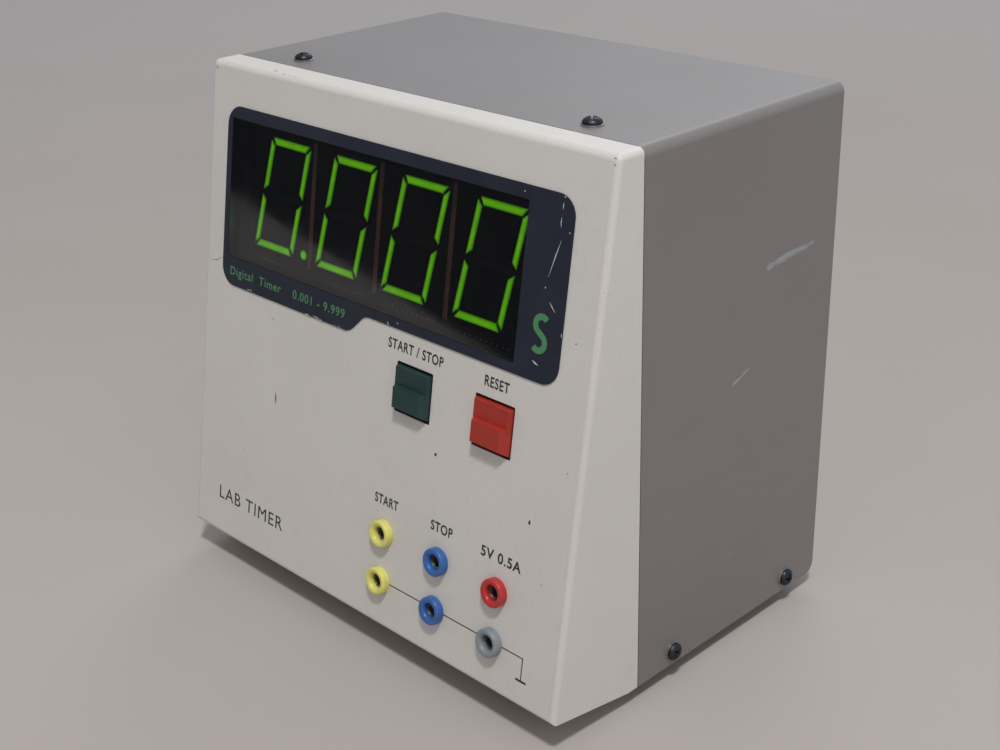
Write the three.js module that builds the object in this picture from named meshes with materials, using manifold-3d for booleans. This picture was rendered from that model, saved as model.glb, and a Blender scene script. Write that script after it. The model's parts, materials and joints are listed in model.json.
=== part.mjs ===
// Demonstration lab timer: a sheet-metal bench case with a sloping front, a four-digit display,
// two spring keys, six 4 mm sockets, and a rear panel with a mains inlet, a switch and a fuse.
// Millimetres. X is the viewer's right, Y runs from the front to the back, Z is up.
// The finished group's origin is the centre of its footprint, on the table.

import * as THREE from "three";
import { mergeVertices } from "three/addons/utils/BufferGeometryUtils.js";
import Module from "manifold-3d";

const wasm = await Module();
wasm.setup();

// ---------------------------------------------------------------- driving dimensions
// The case is laid out from the seam between front panel and cover (y = 0) and from the cover's
// lower edge (z = 0).
const caseWidth = 200;
const caseHeight = 189.3;
const coverDepth = 103;
const coverSheet = 1.2;
const coverBend = 3.5;
const coverRearCorner = 4.5;
const seamGap = 0.4;
const clearance = 0.3;
const footReach = 6;

const panelSheet = 1.6;
const faceTopY = -10.6;
const faceBottomY = -42;
const faceBottomZ = 6.4;
const flangeEndY = -4.7;
const panelBend = 3;
const faceLean = Math.atan2(faceTopY - faceBottomY, caseHeight - faceBottomZ);

// Lips behind the front panel's edges, which the cover and the chassis slide over. Each has a
// shoulder at its root that joins it to the folded sheet.
const lip = {
  top: { half: 90, reach: 15, shoulder: 0.8 },
  bottom: { half: 90, reach: 9, z: 2.5, shoulder: 1.6 },
  side: { low: 12, high: 178, reach: 6, shoulder: 0.8 },
  root: -3,
};

// On the sloping face: x across, s up the slope from its lower edge, and depth outwards.
const displayOpening = { left: -85.5, right: 67, bottom: 114, top: 166.2 };
const grown = ({ left, right, bottom, top }, by) => [left - by, right + by, bottom - by, top + by];
const windowMiddle = {
  x: (displayOpening.left + displayOpening.right) / 2,
  s: (displayOpening.bottom + displayOpening.top) / 2,
};
const paneBorder = 2.5;
const bezelThickness = 0.4;
const bezelOutline = [
  [-88.7, 170.7, 7.5],
  [-88.7, 103, 7.5],
  [-12.5, 103, 7],
  [-4.8, 110.7, 6],
  [85.9, 110.7, 7],
  [85.9, 170.7, 7],
];

const digitCount = 4;
const digitPitch = 36.3;
const digitModule = { width: 35.9, height: 46.2, depth: 12 };
const digitRecess = 7.2;
const boardSheet = 1.6;
const displayBoard = { left: -96.2, right: 78, bottom: 103, top: 176.5 };
const standoffRadius = 2.9;

const keyMiddle = 90.9;
const keys = [
  { name: "start_stop", x: 22.3, colour: 0x213a3a },
  { name: "reset", x: 60.6, colour: 0xa5302a },
];
const keyOpening = 18;
const keyCap = { width: 16.6, height: 15.9, skirt: 4, stemRadius: 2.6, stemEnd: 16 };
const keyRise = {
  lower: { height: 3.6, taper: 1.3 },
  upper: { height: 1.7, taper: 0.5, topTaper: 0.3 },
  step: { foot: 1.65, head: 1 },
};
const keyHousing = { size: 21, front: 2, floor: 12, back: 21, guideRadius: 3 };

const socketColumns = [12.7, 40.9, 69.1];
const socketRows = [36.4, 18.2];
const socketColours = [
  { name: "start", colour: 0xe1da6e },
  { name: "stop", colour: 0x3069b4 },
  { name: "supply", colour: 0xcd2d2d },
];
const socketFlangeRadius = 5.1;
const socketProud = 3.2;
const socketNeck = 3.9;
const socketBack = -12;
const socketBore = { front: 2.7, back: 2.9, stepZ: -0.5, chamfer: 1.1 };
const contactTube = { outer: 2.4, inner: 2.0, front: 0.4, back: -20, end: 3, tagReach: 7 };
const socketNut = { radius: 6.4, thickness: 2.7 };

const screwHeadRadius = 3.4;
const screwHeadHeight = 2.5;
const washer = { radius: 3.8, thickness: 0.5 };
const screwShankRadius = 1.6;
const screwHoleRadius = 2;
const topScrew = { x: 71.2, y: 9.4 };
const sideScrew = { ys: [18.8, 84.6], z: 5.4 };
const rearScrew = { x: 88, z: 8.5 };

const chassis = {
  halfWidth: 98.3,
  front: 0.8,
  back: 99.7,
  bottom: 1,
  sheet: 1.2,
  flange: 13,
  flangeFrom: 8,
  flangeTo: 96,
};
const foot = { x: 78, ys: [14, 88], radius: 9, bevel: 1.5, flare: 0.8, stemRadius: 3, stemTop: 5 };
const rearPanel = { front: 100, sheet: 1.5, bottom: 2.6, top: 187.6, flange: 10, flangeFrom: 18 };
const rearFace = rearPanel.front + rearPanel.sheet;
// Half sizes across X and up Z of each rear fitting's flange, body and inside.
const inlet = {
  x: 60,
  z: 32,
  flange: [15.5, 11.5],
  body: [13.2, 9.6],
  cavity: [12, 8.2],
  flangeSheet: 2.2,
  floorY: 89,
  bladeLength: 10,
};
const powerSwitch = {
  x: 26,
  z: 32,
  flange: [7.8, 11.6],
  body: [6.6, 10.2],
  well: [5.5, 9.4],
  flangeSheet: 1.6,
  backY: 84,
  floorY: 91,
  pivotY: 99,
  tilt: THREE.MathUtils.degToRad(8),
};
const fuse = { x: -2, z: 32, bodyRadius: 6.1, flangeRadius: 8.2, boreRadius: 4.7, length: 26 };
const vents = { columns: [-48, 0, 48], rows: 6, firstZ: 112, pitch: 8, length: 38, height: 3.2 };

const mainBoard = { left: -90, right: 8, front: 18, back: 92, bottom: 10, cornerMargin: 5 };
const chip = { columns: 5, rows: 2, pitchX: 16, pitchY: 24, firstX: 14, firstY: 8 };
const chipBody = { width: 7, length: 19, height: 4 };
const capacitor = { x: -20, y: 80, radius: 9, height: 28 };
const transformer = { x: 50, y: 52, legWidth: 9, stack: 22, bottom: 2.6 };

// ---------------------------------------------------------------- finishes
const finish = (colour, roughness, metalness = 0) =>
  new THREE.MeshStandardMaterial({ color: colour, roughness, metalness });
const cream = finish(0xadaaa3, 0.55);
const taupe = finish(0x6c6766, 0.6);
const navy = finish(0x2b2e3a, 0.5);
const smoked = finish(0x0c0e12, 0.15);
const blackPlastic = finish(0x151515, 0.5);
const blackSteel = finish(0x1a1a1c, 0.4, 0.8);
const plated = finish(0xb9b8b2, 0.4, 0.9);
const rubber = finish(0x1c1c1c, 0.9);
const brass = finish(0xb08d4a, 0.35, 1);
const circuit = finish(0x2f5a34, 0.6);
const iron = finish(0x5a5550, 0.6, 0.7);
const tape = finish(0xb7a03a, 0.6);

// ---------------------------------------------------------------- shape helpers
const range = (count) => [...Array(count).keys()];

function solidFrom(geometry) {
  const bare = geometry.index ? geometry.toNonIndexed() : geometry.clone();
  bare.deleteAttribute("normal");
  bare.deleteAttribute("uv");
  const merged = mergeVertices(bare, 1e-4);
  const mesh = new wasm.Mesh({
    numProp: 3,
    vertProperties: merged.attributes.position.array,
    triVerts: new Uint32Array(merged.index.array),
  });
  return new wasm.Manifold(mesh);
}

function geometryFrom(solid) {
  const mesh = solid.getMesh();
  const geometry = new THREE.BufferGeometry();
  geometry.setAttribute("position", new THREE.BufferAttribute(mesh.vertProperties, 3));
  geometry.setIndex(new THREE.BufferAttribute(mesh.triVerts, 1));
  return geometry;
}

function join(...geometries) {
  const joined = geometries.map(solidFrom).reduce((whole, piece) => whole.add(piece));
  return geometryFrom(joined);
}

function cut(geometry, ...tools) {
  const left = tools.map(solidFrom).reduce((whole, tool) => whole.subtract(tool), solidFrom(geometry));
  return geometryFrom(left);
}

function common(...geometries) {
  const shared = geometries.map(solidFrom).reduce((whole, piece) => whole.intersect(piece));
  return geometryFrom(shared);
}

function box(x0, x1, y0, y1, z0, z1) {
  const block = new THREE.BoxGeometry(x1 - x0, y1 - y0, z1 - z0);
  return block.translate((x0 + x1) / 2, (y0 + y1) / 2, (z0 + z1) / 2);
}

// A box on one side of the case (side is 1 or -1), given by its distances from the middle.
function sideBox(side, inner, outer, ...rest) {
  return side > 0 ? box(inner, outer, ...rest) : box(-outer, -inner, ...rest);
}

// A rod along Z between two heights.
function rod(radius, z0, z1, x = 0, y = 0, sides = 20) {
  const cylinder = new THREE.CylinderGeometry(radius, radius, z1 - z0, sides);
  return cylinder.rotateX(Math.PI / 2).translate(x, y, (z0 + z1) / 2);
}

// A body turned about Z from [radius, z] points. The profile starts and ends on the axis, or closes.
function turned(profile, sides = 24) {
  const points = profile.map(([radius, z]) => new THREE.Vector2(radius, z));
  return new THREE.LatheGeometry(points, sides).rotateX(Math.PI / 2);
}

// A block whose far face is a smaller rectangle than its near one: each is [x0, x1, y0, y1, z].
function taperedBlock(near, far) {
  const block = new THREE.BoxGeometry(2, 2, 2);
  const corners = block.attributes.position;
  for (let i = 0; i < corners.count; i++) {
    const [x0, x1, y0, y1, z] = corners.getZ(i) < 0 ? near : far;
    corners.setXYZ(i, corners.getX(i) < 0 ? x0 : x1, corners.getY(i) < 0 ? y0 : y1, z);
  }
  return block;
}

// An outline from [x, y, radius] corners, each corner rounded with an arc.
function roundedOutline(corners, arcSteps = 5) {
  const outline = [];
  corners.forEach(([x, y, radius = 0], i) => {
    const corner = new THREE.Vector2(x, y);
    const before = new THREE.Vector2(...corners.at(i - 1).slice(0, 2)).sub(corner).normalize();
    const after = new THREE.Vector2(...corners[(i + 1) % corners.length].slice(0, 2)).sub(corner);
    after.normalize();
    if (!radius) {
      outline.push(corner);
      return;
    }
    const halfAngle = Math.acos(THREE.MathUtils.clamp(before.dot(after), -1, 1)) / 2;
    const bisector = before.clone().add(after).normalize();
    const centre = corner.clone().addScaledVector(bisector, radius / Math.sin(halfAngle));
    const start = corner.clone().addScaledVector(before, radius / Math.tan(halfAngle)).sub(centre);
    const end = corner.clone().addScaledVector(after, radius / Math.tan(halfAngle)).sub(centre);
    const sweep = Math.atan2(start.cross(end), start.dot(end));
    for (let k = 0; k <= arcSteps; k++) {
      const turn = (sweep * k) / arcSteps;
      outline.push(start.clone().rotateAround(new THREE.Vector2(), turn).add(centre));
    }
  });
  return new THREE.Shape(outline);
}

function plate(shape, z0, z1) {
  const settings = { depth: z1 - z0, bevelEnabled: false };
  return new THREE.ExtrudeGeometry(shape, settings).translate(0, 0, z0);
}

// A (y, z) outline drawn out along X, and an (x, z) outline drawn out along Y.
const axisX = new THREE.Vector3(1, 0, 0);
const axisY = new THREE.Vector3(0, 1, 0);
const axisZ = new THREE.Vector3(0, 0, 1);
const sideways = new THREE.Matrix4().makeBasis(axisY, axisZ, axisX);
const backwards = new THREE.Matrix4().makeBasis(axisX, axisZ, axisY.clone().negate());
const alongX = (shape, x0, x1) => plate(shape, x0, x1).applyMatrix4(sideways);
const alongY = (shape, y0, y1) => plate(shape, -y1, -y0).applyMatrix4(backwards);

// Turns a body built along +Z so that it points along the given direction, at the given place.
function pointed(geometry, direction, place) {
  const turn = new THREE.Quaternion().setFromUnitVectors(axisZ, direction.clone().normalize());
  return geometry.clone().applyQuaternion(turn).translate(place.x, place.y, place.z);
}

// From face coordinates (x, s, outwards) to case coordinates.
const faceFrame = new THREE.Matrix4()
  .makeTranslation(0, faceBottomY, faceBottomZ)
  .multiply(new THREE.Matrix4().makeRotationX(Math.PI / 2 - faceLean));
const onFace = (geometry) => geometry.clone().applyMatrix4(faceFrame);

// ---------------------------------------------------------------- the object
const timer = new THREE.Group();
const caseGroup = new THREE.Group();
const faceGroup = new THREE.Group();
faceGroup.applyMatrix4(faceFrame);
caseGroup.add(faceGroup);
timer.add(caseGroup);

function addPiece(group, name, geometry, material) {
  const mesh = new THREE.Mesh(geometry, material);
  mesh.name = name;
  group.add(mesh);
  return mesh;
}

// ---------------------------------------------------------------- front panel
// The case's (x, z) outline, rounded over the top, down to the given height.
function arch(inset, low) {
  const half = caseWidth / 2;
  return roundedOutline([
    [half - inset, low],
    [half - inset, caseHeight - inset, coverBend - inset],
    [-half + inset, caseHeight - inset, coverBend - inset],
    [-half + inset, low],
  ]);
}

// Moves each edge of a counterclockwise outline inwards.
function insetCorners(corners, distance) {
  return corners.map(([x, y], i) => {
    const corner = new THREE.Vector2(x, y);
    const arriving = corner.clone().sub(new THREE.Vector2(...corners.at(i - 1))).normalize();
    const leaving = new THREE.Vector2(...corners[(i + 1) % corners.length]).sub(corner).normalize();
    const inwards = new THREE.Vector2(-arriving.y - leaving.y, arriving.x + leaving.x);
    inwards.multiplyScalar(distance / (1 + arriving.dot(leaving)));
    return corner.add(inwards).toArray();
  });
}

const lipTop = caseHeight - coverSheet - clearance;
const lipSide = caseWidth / 2 - coverSheet - clearance;

function topLip() {
  const { half, reach, shoulder } = lip.top;
  const low = lipTop - panelSheet;
  return join(
    box(-half, half, lip.root, reach, low, lipTop),
    box(-half, half, lip.root, -clearance, low, lipTop + shoulder),
  );
}

function bottomLip() {
  const { half, reach, z, shoulder } = lip.bottom;
  const high = z + panelSheet;
  return join(
    box(-half, half, lip.root - 1, reach, z, high),
    box(-half, half, lip.root - 1, -clearance, z - shoulder, high),
  );
}

function sideLip(side) {
  const { low, high, reach, shoulder } = lip.side;
  const inner = lipSide - panelSheet;
  return join(
    sideBox(side, inner, lipSide, lip.root, reach, low, high),
    sideBox(side, inner, lipSide + shoulder, lip.root, -clearance, low, high),
  );
}

// The folded profile of the front, as (y, z): top flange, sloping face, and a floor that
// rises towards the front.
function frontPanel() {
  const outer = [
    [0, caseHeight],
    [faceTopY, caseHeight],
    [faceBottomY, faceBottomZ],
    [flangeEndY, 0],
    [0, 0],
  ];
  const inner = insetCorners(outer, panelSheet);
  inner[0][0] = 1;
  inner[4][0] = 1;
  const radii = [0, panelBend, panelBend, 0, 0];
  const rounded = (corners, less) =>
    roundedOutline(corners.map(([y, z], i) => [y, z, radii[i] && radii[i] - less]));
  const halfWidth = caseWidth / 2;
  // The side edges of the face and of the top flange are rounded too.
  const faceSides = roundedOutline([
    [halfWidth, -80],
    [halfWidth, 0, panelBend],
    [-halfWidth, 0, panelBend],
    [-halfWidth, -80],
  ]);
  const rounding = common(onFace(alongY(faceSides, -20, 220)), alongY(arch(0, -1), -60, 1));
  const shell = cut(
    common(alongX(rounded(outer, 0), -halfWidth, halfWidth), rounding),
    alongX(rounded(inner, panelSheet), -halfWidth + panelSheet, halfWidth - panelSheet),
  );

  const folded = join(shell, topLip(), bottomLip(), ...[-1, 1].map(sideLip));

  // Openings, cut square to the face.
  const through = [-6, 2];
  const windowHole = box(...grown(displayOpening, 0.5), ...through);
  const keyHoles = keys.map(({ x }) => {
    const half = keyOpening / 2;
    return box(x - half, x + half, keyMiddle - half, keyMiddle + half, ...through);
  });
  const socketHoles = socketColumns.flatMap((x) =>
    socketRows.map((s) => rod(socketNeck + clearance, ...through, x, s)),
  );
  const screwHoles = [-1, 1].map((side) =>
    rod(screwHoleRadius, lipTop - 5, lipTop + 0.4, side * topScrew.x, topScrew.y, 16),
  );
  return cut(folded, ...[windowHole, ...keyHoles, ...socketHoles].map(onFace), ...screwHoles);
}
addPiece(caseGroup, "front_panel", frontPanel(), cream);

// ---------------------------------------------------------------- cover
// Tools for the holes of the side and rear screws, in walls near the given place.
function sideHoleTools(wall) {
  const tool = rod(screwHoleRadius, -3, 3, 0, 0, 12);
  return [-wall, wall].flatMap((x) =>
    sideScrew.ys.map((y) => pointed(tool, axisX, { x, y, z: sideScrew.z })),
  );
}

function rearHoleTools(wall) {
  const tool = rod(screwHoleRadius, -3, 3, 0, 0, 12);
  return [-rearScrew.x, rearScrew.x].map((x) =>
    pointed(tool, axisY, { x, y: wall, z: rearScrew.z }),
  );
}

function cover() {
  const half = caseWidth / 2;
  const shell = cut(
    alongY(arch(0, 0), seamGap, coverDepth),
    alongY(arch(coverSheet, -1), seamGap - 1, coverDepth + 1),
  );
  // The lower rear corner of each side is rounded off.
  const corner = roundedOutline([
    [coverDepth + 1, -1],
    [coverDepth + 1, coverRearCorner],
    [coverDepth, coverRearCorner],
    [coverDepth, 0, coverRearCorner - 0.01],
    [coverDepth - coverRearCorner, 0],
    [coverDepth - coverRearCorner, -1],
  ]);
  const topHoles = [-1, 1].map((side) =>
    rod(screwHoleRadius, caseHeight - 3, caseHeight + 1, side * topScrew.x, topScrew.y, 16),
  );
  return cut(shell, alongX(corner, -half - 1, half + 1), ...topHoles, ...sideHoleTools(half));
}
addPiece(caseGroup, "cover", cover(), taupe);

// ---------------------------------------------------------------- chassis, rear panel and feet
function baseChassis() {
  const { halfWidth, front, back, bottom, sheet, flange, flangeFrom, flangeTo } = chassis;
  const tray = join(
    box(-halfWidth, halfWidth, front, back, bottom, bottom + sheet),
    ...[-1, 1].map((side) =>
      sideBox(side, halfWidth - sheet, halfWidth, flangeFrom, flangeTo, bottom, bottom + flange),
    ),
    box(-flangeTo, flangeTo, back - sheet, back, bottom, bottom + flange),
    ...boardCorners().map(([x, y]) => rod(3, bottom, mainBoard.bottom - clearance, x, y, 12)),
  );
  const footHoles = footPlaces().map(([x, y]) =>
    rod(foot.stemRadius + clearance, 0, bottom + sheet + 1, x, y, 12),
  );
  return cut(tray, ...footHoles, ...sideHoleTools(halfWidth), ...rearHoleTools(back));
}

function boardCorners() {
  const { left, right, front, back, cornerMargin } = mainBoard;
  return [left + cornerMargin, right - cornerMargin].flatMap((x) =>
    [front + cornerMargin, back - cornerMargin].map((y) => [x, y]),
  );
}

function footPlaces() {
  return [-1, 1].flatMap((side) => foot.ys.map((y) => [side * foot.x, y]));
}

addPiece(caseGroup, "base_chassis", baseChassis(), plated);

const footGeometry = turned(
  [
    [0, -footReach],
    [foot.radius - foot.bevel, -footReach],
    [foot.radius, -footReach + foot.bevel],
    [foot.radius + foot.flare, chassis.bottom - clearance],
    [foot.stemRadius, chassis.bottom - clearance],
    [foot.stemRadius, foot.stemTop - 1],
    [foot.stemRadius - 1, foot.stemTop],
    [0, foot.stemTop],
  ],
  16,
);
footPlaces().forEach(([x, y], i) => {
  addPiece(caseGroup, `foot_${i + 1}`, footGeometry, rubber).position.set(x, y, 0);
});

// A box about a rear fitting's axis, from its half sizes across X and up Z.
function fittingBox({ x, z }, [halfX, halfZ], y0, y1, room = 0) {
  const [dx, dz] = [halfX + room, halfZ + room];
  return box(x - dx, x + dx, y0, y1, z - dz, z + dz);
}

function rearPanelBody() {
  const { front, bottom, top, flange, flangeFrom, sheet } = rearPanel;
  const half = chassis.halfWidth;
  const outline = (inset, low) =>
    roundedOutline([
      [half - inset, low],
      [half - inset, top - inset, coverBend - inset],
      [-half + inset, top - inset, coverBend - inset],
      [-half + inset, low],
    ]);
  const pan = cut(
    alongY(outline(0, bottom), front - flange, rearFace),
    alongY(outline(sheet, bottom - 1), front - flange - 1, front),
    box(-half - 1, half + 1, front - flange - 1, front, bottom - 1, flangeFrom),
  );
  const past = [front - 2, rearFace + 2];
  const ventHoles = vents.columns.flatMap((x) =>
    range(vents.rows).map((row) => {
      const z = vents.firstZ + row * vents.pitch;
      const end = vents.height / 2;
      const [x0, x1] = [x - vents.length / 2, x + vents.length / 2];
      const slot = roundedOutline(
        [
          [x0, z - end, end * 0.99],
          [x1, z - end, end * 0.99],
          [x1, z + end, end * 0.99],
          [x0, z + end, end * 0.99],
        ],
        2,
      );
      return alongY(slot, ...past);
    }),
  );
  const fuseHole = rod(fuse.bodyRadius + 0.4, -3, 3, 0, 0, 20);
  return cut(
    pan,
    fittingBox(inlet, inlet.body, ...past, 0.4),
    fittingBox(powerSwitch, powerSwitch.body, ...past, 0.4),
    pointed(fuseHole, axisY, { x: fuse.x, y: front, z: fuse.z }),
    ...ventHoles,
    ...rearHoleTools(front),
  );
}
addPiece(caseGroup, "rear_panel", rearPanelBody(), taupe);

// ---------------------------------------------------------------- screws
// A domed screw along Z with its seat at z = 0: captive washer, dome, shank and a cross recess.
function domedScrew() {
  const body = turned(
    [
      [0, -8],
      [screwShankRadius, -8],
      [screwShankRadius, 0],
      [washer.radius, 0],
      [washer.radius, washer.thickness],
      [screwHeadRadius, washer.thickness],
      [screwHeadRadius, washer.thickness + 0.3],
      [screwHeadRadius * 0.75, screwHeadHeight * 0.78],
      [screwHeadRadius * 0.38, screwHeadHeight],
      [0, screwHeadHeight],
    ],
    12,
  );
  const bar = box(-2, 2, -0.4, 0.4, screwHeadHeight - 1.4, screwHeadHeight + 1);
  return cut(body, join(bar, bar.clone().rotateZ(Math.PI / 2)));
}
const screwGeometry = domedScrew();

function addScrew(name, place, direction) {
  const screw = addPiece(caseGroup, name, screwGeometry, blackSteel);
  screw.position.set(...place);
  screw.quaternion.setFromUnitVectors(axisZ, direction);
}
const sides = { left: -1, right: 1 };
for (const [word, side] of Object.entries(sides)) {
  const outwards = axisX.clone().multiplyScalar(side);
  const seat = side * (caseWidth / 2 + clearance);
  addScrew(`top_screw_${word}`, [side * topScrew.x, topScrew.y, caseHeight + clearance], axisZ);
  addScrew(`side_screw_${word}_front`, [seat, sideScrew.ys[0], sideScrew.z], outwards);
  addScrew(`side_screw_${word}_rear`, [seat, sideScrew.ys[1], sideScrew.z], outwards);
  addScrew(`rear_screw_${word}`, [side * rearScrew.x, rearFace + clearance, rearScrew.z], axisY);
}

// ---------------------------------------------------------------- display
function bezelPlate() {
  const sheet = plate(roundedOutline(bezelOutline), clearance, clearance + bezelThickness);
  return cut(sheet, box(...grown(displayOpening, 0), -1, 3));
}
addPiece(faceGroup, "bezel_plate", bezelPlate(), navy);

// The pane fills the opening from behind, and a border round it bears on the panel's back.
function windowPane() {
  const back = -panelSheet - clearance;
  return join(
    box(...grown(displayOpening, -clearance), back - 1, bezelThickness),
    box(...grown(displayOpening, paneBorder), back - 2, back),
  );
}
addPiece(faceGroup, "window_pane", windowPane(), smoked);

for (let i = 0; i < digitCount; i++) {
  const x = windowMiddle.x + (i - (digitCount - 1) / 2) * digitPitch;
  const { width, height, depth } = digitModule;
  const block = box(
    x - width / 2,
    x + width / 2,
    windowMiddle.s - height / 2,
    windowMiddle.s + height / 2,
    -digitRecess - depth,
    -digitRecess,
  );
  addPiece(faceGroup, `digit_module_${i + 1}`, block, blackPlastic);
}

const boardFront = -digitRecess - digitModule.depth - clearance;
const boardBody = box(...grown(displayBoard, 0), boardFront - boardSheet, boardFront);
addPiece(faceGroup, "display_board", boardBody, circuit);

const [standoffLeft, standoffRight, standoffLow, standoffHigh] = grown(displayBoard, -3.4);
const standoffXs = [standoffLeft, standoffRight];
const standoffSs = [standoffLow, standoffHigh];
standoffXs
  .flatMap((x) => standoffSs.map((s) => [x, s]))
  .forEach(([x, s], i) => {
    const [low, high] = [boardFront + clearance, -panelSheet - clearance];
    const pillar = rod(standoffRadius, low, high, x, s, 6);
    addPiece(faceGroup, `display_standoff_${i + 1}`, pillar, brass);
  });

// ---------------------------------------------------------------- keys
// Key cap about its own middle, z outwards from the face: a low upper half, a raised lower half,
// a skirt that runs in the housing, and a round stem through the spring.
function keyBody() {
  const halfWidth = keyCap.width / 2;
  const halfHeight = keyCap.height / 2;
  const { lower, upper, step } = keyRise;
  const raisedHalf = halfWidth - lower.taper;
  const raised = taperedBlock(
    [-halfWidth, halfWidth, -halfHeight, step.foot, 0],
    [-raisedHalf, raisedHalf, -halfHeight + lower.taper, step.head, lower.height],
  );
  const flushHalf = halfWidth - upper.taper;
  const flush = taperedBlock(
    [-halfWidth, halfWidth, 0, halfHeight, 0],
    [-flushHalf, flushHalf, 0, halfHeight - upper.topTaper, upper.height],
  );
  return join(
    box(-halfWidth, halfWidth, -halfHeight, halfHeight, -keyCap.skirt, 0),
    raised,
    flush,
    rod(keyCap.stemRadius, -keyCap.stemEnd, -keyCap.skirt, 0, 0, 16),
  );
}

function keySwitchHousing() {
  const { size, front, floor, back, guideRadius } = keyHousing;
  const half = size / 2;
  const pocketX = keyCap.width / 2 + 0.5;
  const pocketS = keyCap.height / 2 + 0.5;
  return cut(
    box(-half, half, -half, half, -back, -front),
    box(-pocketX, pocketX, -pocketS, pocketS, -floor, 0),
    rod(guideRadius, -back - 1, -floor + 1, 0, 0, 16),
  );
}

// A compression spring between the housing floor and the underside of the skirt.
class Helix extends THREE.Curve {
  constructor(radius, start, end, turns) {
    super();
    Object.assign(this, { radius, start, end, turns });
  }
  getPoint(t, target = new THREE.Vector3()) {
    const angle = t * this.turns * 2 * Math.PI;
    const z = THREE.MathUtils.lerp(this.start, this.end, t);
    return target.set(this.radius * Math.cos(angle), this.radius * Math.sin(angle), z);
  }
}

function returnSpring() {
  const wire = 0.35;
  const start = -keyHousing.floor + clearance + wire;
  const end = -keyCap.skirt - clearance - wire;
  const path = new Helix(4.2, start, end, 4);
  const section = new THREE.Shape().absarc(0, 0, wire, 0, 2 * Math.PI);
  return new THREE.ExtrudeGeometry(new THREE.Shape(section.getPoints(3)), {
    steps: 36,
    extrudePath: path,
    bevelEnabled: false,
  });
}

for (const { name, x, colour } of keys) {
  addPiece(faceGroup, `${name}_key`, keyBody(), finish(colour, 0.45)).position.set(x, keyMiddle, 0);
  addPiece(faceGroup, `${name}_switch`, keySwitchHousing(), blackPlastic).position.set(
    x,
    keyMiddle,
    0,
  );
  addPiece(faceGroup, `${name}_spring`, returnSpring(), plated).position.set(x, keyMiddle, 0);
}

// ---------------------------------------------------------------- sockets
// Coloured insulating collar, brass contact tube and fixing nut, about the socket's own axis.
const collarGeometry = turned(
  [
    [socketBore.back, socketBack],
    [socketNeck, socketBack],
    [socketNeck, clearance],
    [socketFlangeRadius, clearance],
    [socketFlangeRadius, socketProud - 0.7],
    [socketFlangeRadius - 0.7, socketProud],
    [socketBore.front + socketBore.chamfer, socketProud],
    [socketBore.front, socketProud - socketBore.chamfer],
    [socketBore.front, socketBore.stepZ],
    [socketBore.back, socketBore.stepZ],
    [socketBore.back, socketBack],
  ],
  16,
);
const { outer: tubeOuter, inner: tubeInner, front: tubeFront, back: tubeBack } = contactTube;
const contactGeometry = join(
  turned(
    [
      [0, tubeBack],
      [tubeOuter, tubeBack],
      [tubeOuter, tubeFront],
      [tubeInner, tubeFront],
      [tubeInner, tubeBack + contactTube.end],
      [0, tubeBack + contactTube.end],
    ],
    16,
  ),
  box(-1.5, 1.5, -0.4, 0.4, tubeBack - contactTube.tagReach, tubeBack + 0.5),
);
const nutSeat = -panelSheet - clearance;
const nutGeometry = cut(
  rod(socketNut.radius, nutSeat - socketNut.thickness, nutSeat, 0, 0, 6),
  rod(socketNeck + clearance, nutSeat - socketNut.thickness - 1, 0, 0, 0, 16),
);
socketColumns.forEach((x, column) => {
  const { name, colour } = socketColours[column];
  socketRows.forEach((s, row) => {
    const word = `${name}_socket_${row ? "lower" : "upper"}`;
    const shade = name === "supply" && row ? 0x87929a : colour;
    addPiece(faceGroup, word, collarGeometry, finish(shade, 0.35)).position.set(x, s, 0);
    addPiece(faceGroup, `${word}_contact`, contactGeometry, brass).position.set(x, s, 0);
    addPiece(faceGroup, `${word}_nut`, nutGeometry, plated).position.set(x, s, 0);
  });
});

// ---------------------------------------------------------------- rear fittings
// Mains inlet: flange outside, box inside, and three blades standing in the cavity.
function mainsInlet() {
  const { x, z, flange, body, cavity, flangeSheet, floorY, bladeLength } = inlet;
  const seat = rearFace + clearance;
  const shell = cut(
    join(
      fittingBox(inlet, flange, seat, seat + flangeSheet),
      fittingBox(inlet, body, floorY - 3, seat + 1),
    ),
    fittingBox(inlet, cavity, floorY, seat + flangeSheet + 1),
  );
  const blade = (dx, dz) => {
    const place = { x: x + dx, z: z + dz };
    return fittingBox(place, [1, 2], floorY - 1, floorY + bladeLength);
  };
  return join(shell, blade(-7, -1.5), blade(0, 2), blade(7, -1.5));
}
addPiece(caseGroup, "mains_inlet", mainsInlet(), blackPlastic);

function powerSwitchBody() {
  const { flange, body, well, flangeSheet, backY, floorY } = powerSwitch;
  const seat = rearFace + clearance;
  return cut(
    join(
      fittingBox(powerSwitch, flange, seat, seat + flangeSheet),
      fittingBox(powerSwitch, body, backY, seat + 0.5),
    ),
    fittingBox(powerSwitch, well, floorY, seat + flangeSheet + 1),
  );
}
addPiece(caseGroup, "power_switch", powerSwitchBody(), blackPlastic);

// The rocker about its pivot, as (y, z): a shallow valley in front and a keel behind.
function rocker() {
  const outline = new THREE.Shape([
    new THREE.Vector2(-4.5, -3),
    new THREE.Vector2(6.8, -8.2),
    new THREE.Vector2(5, 0),
    new THREE.Vector2(6.8, 8.2),
    new THREE.Vector2(-4.5, 3),
  ]);
  return alongX(outline, -5, 5);
}
const rockerMesh = addPiece(caseGroup, "power_rocker", rocker(), blackPlastic);
rockerMesh.position.set(powerSwitch.x, powerSwitch.pivotY, powerSwitch.z);
rockerMesh.rotation.x = powerSwitch.tilt;

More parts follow.
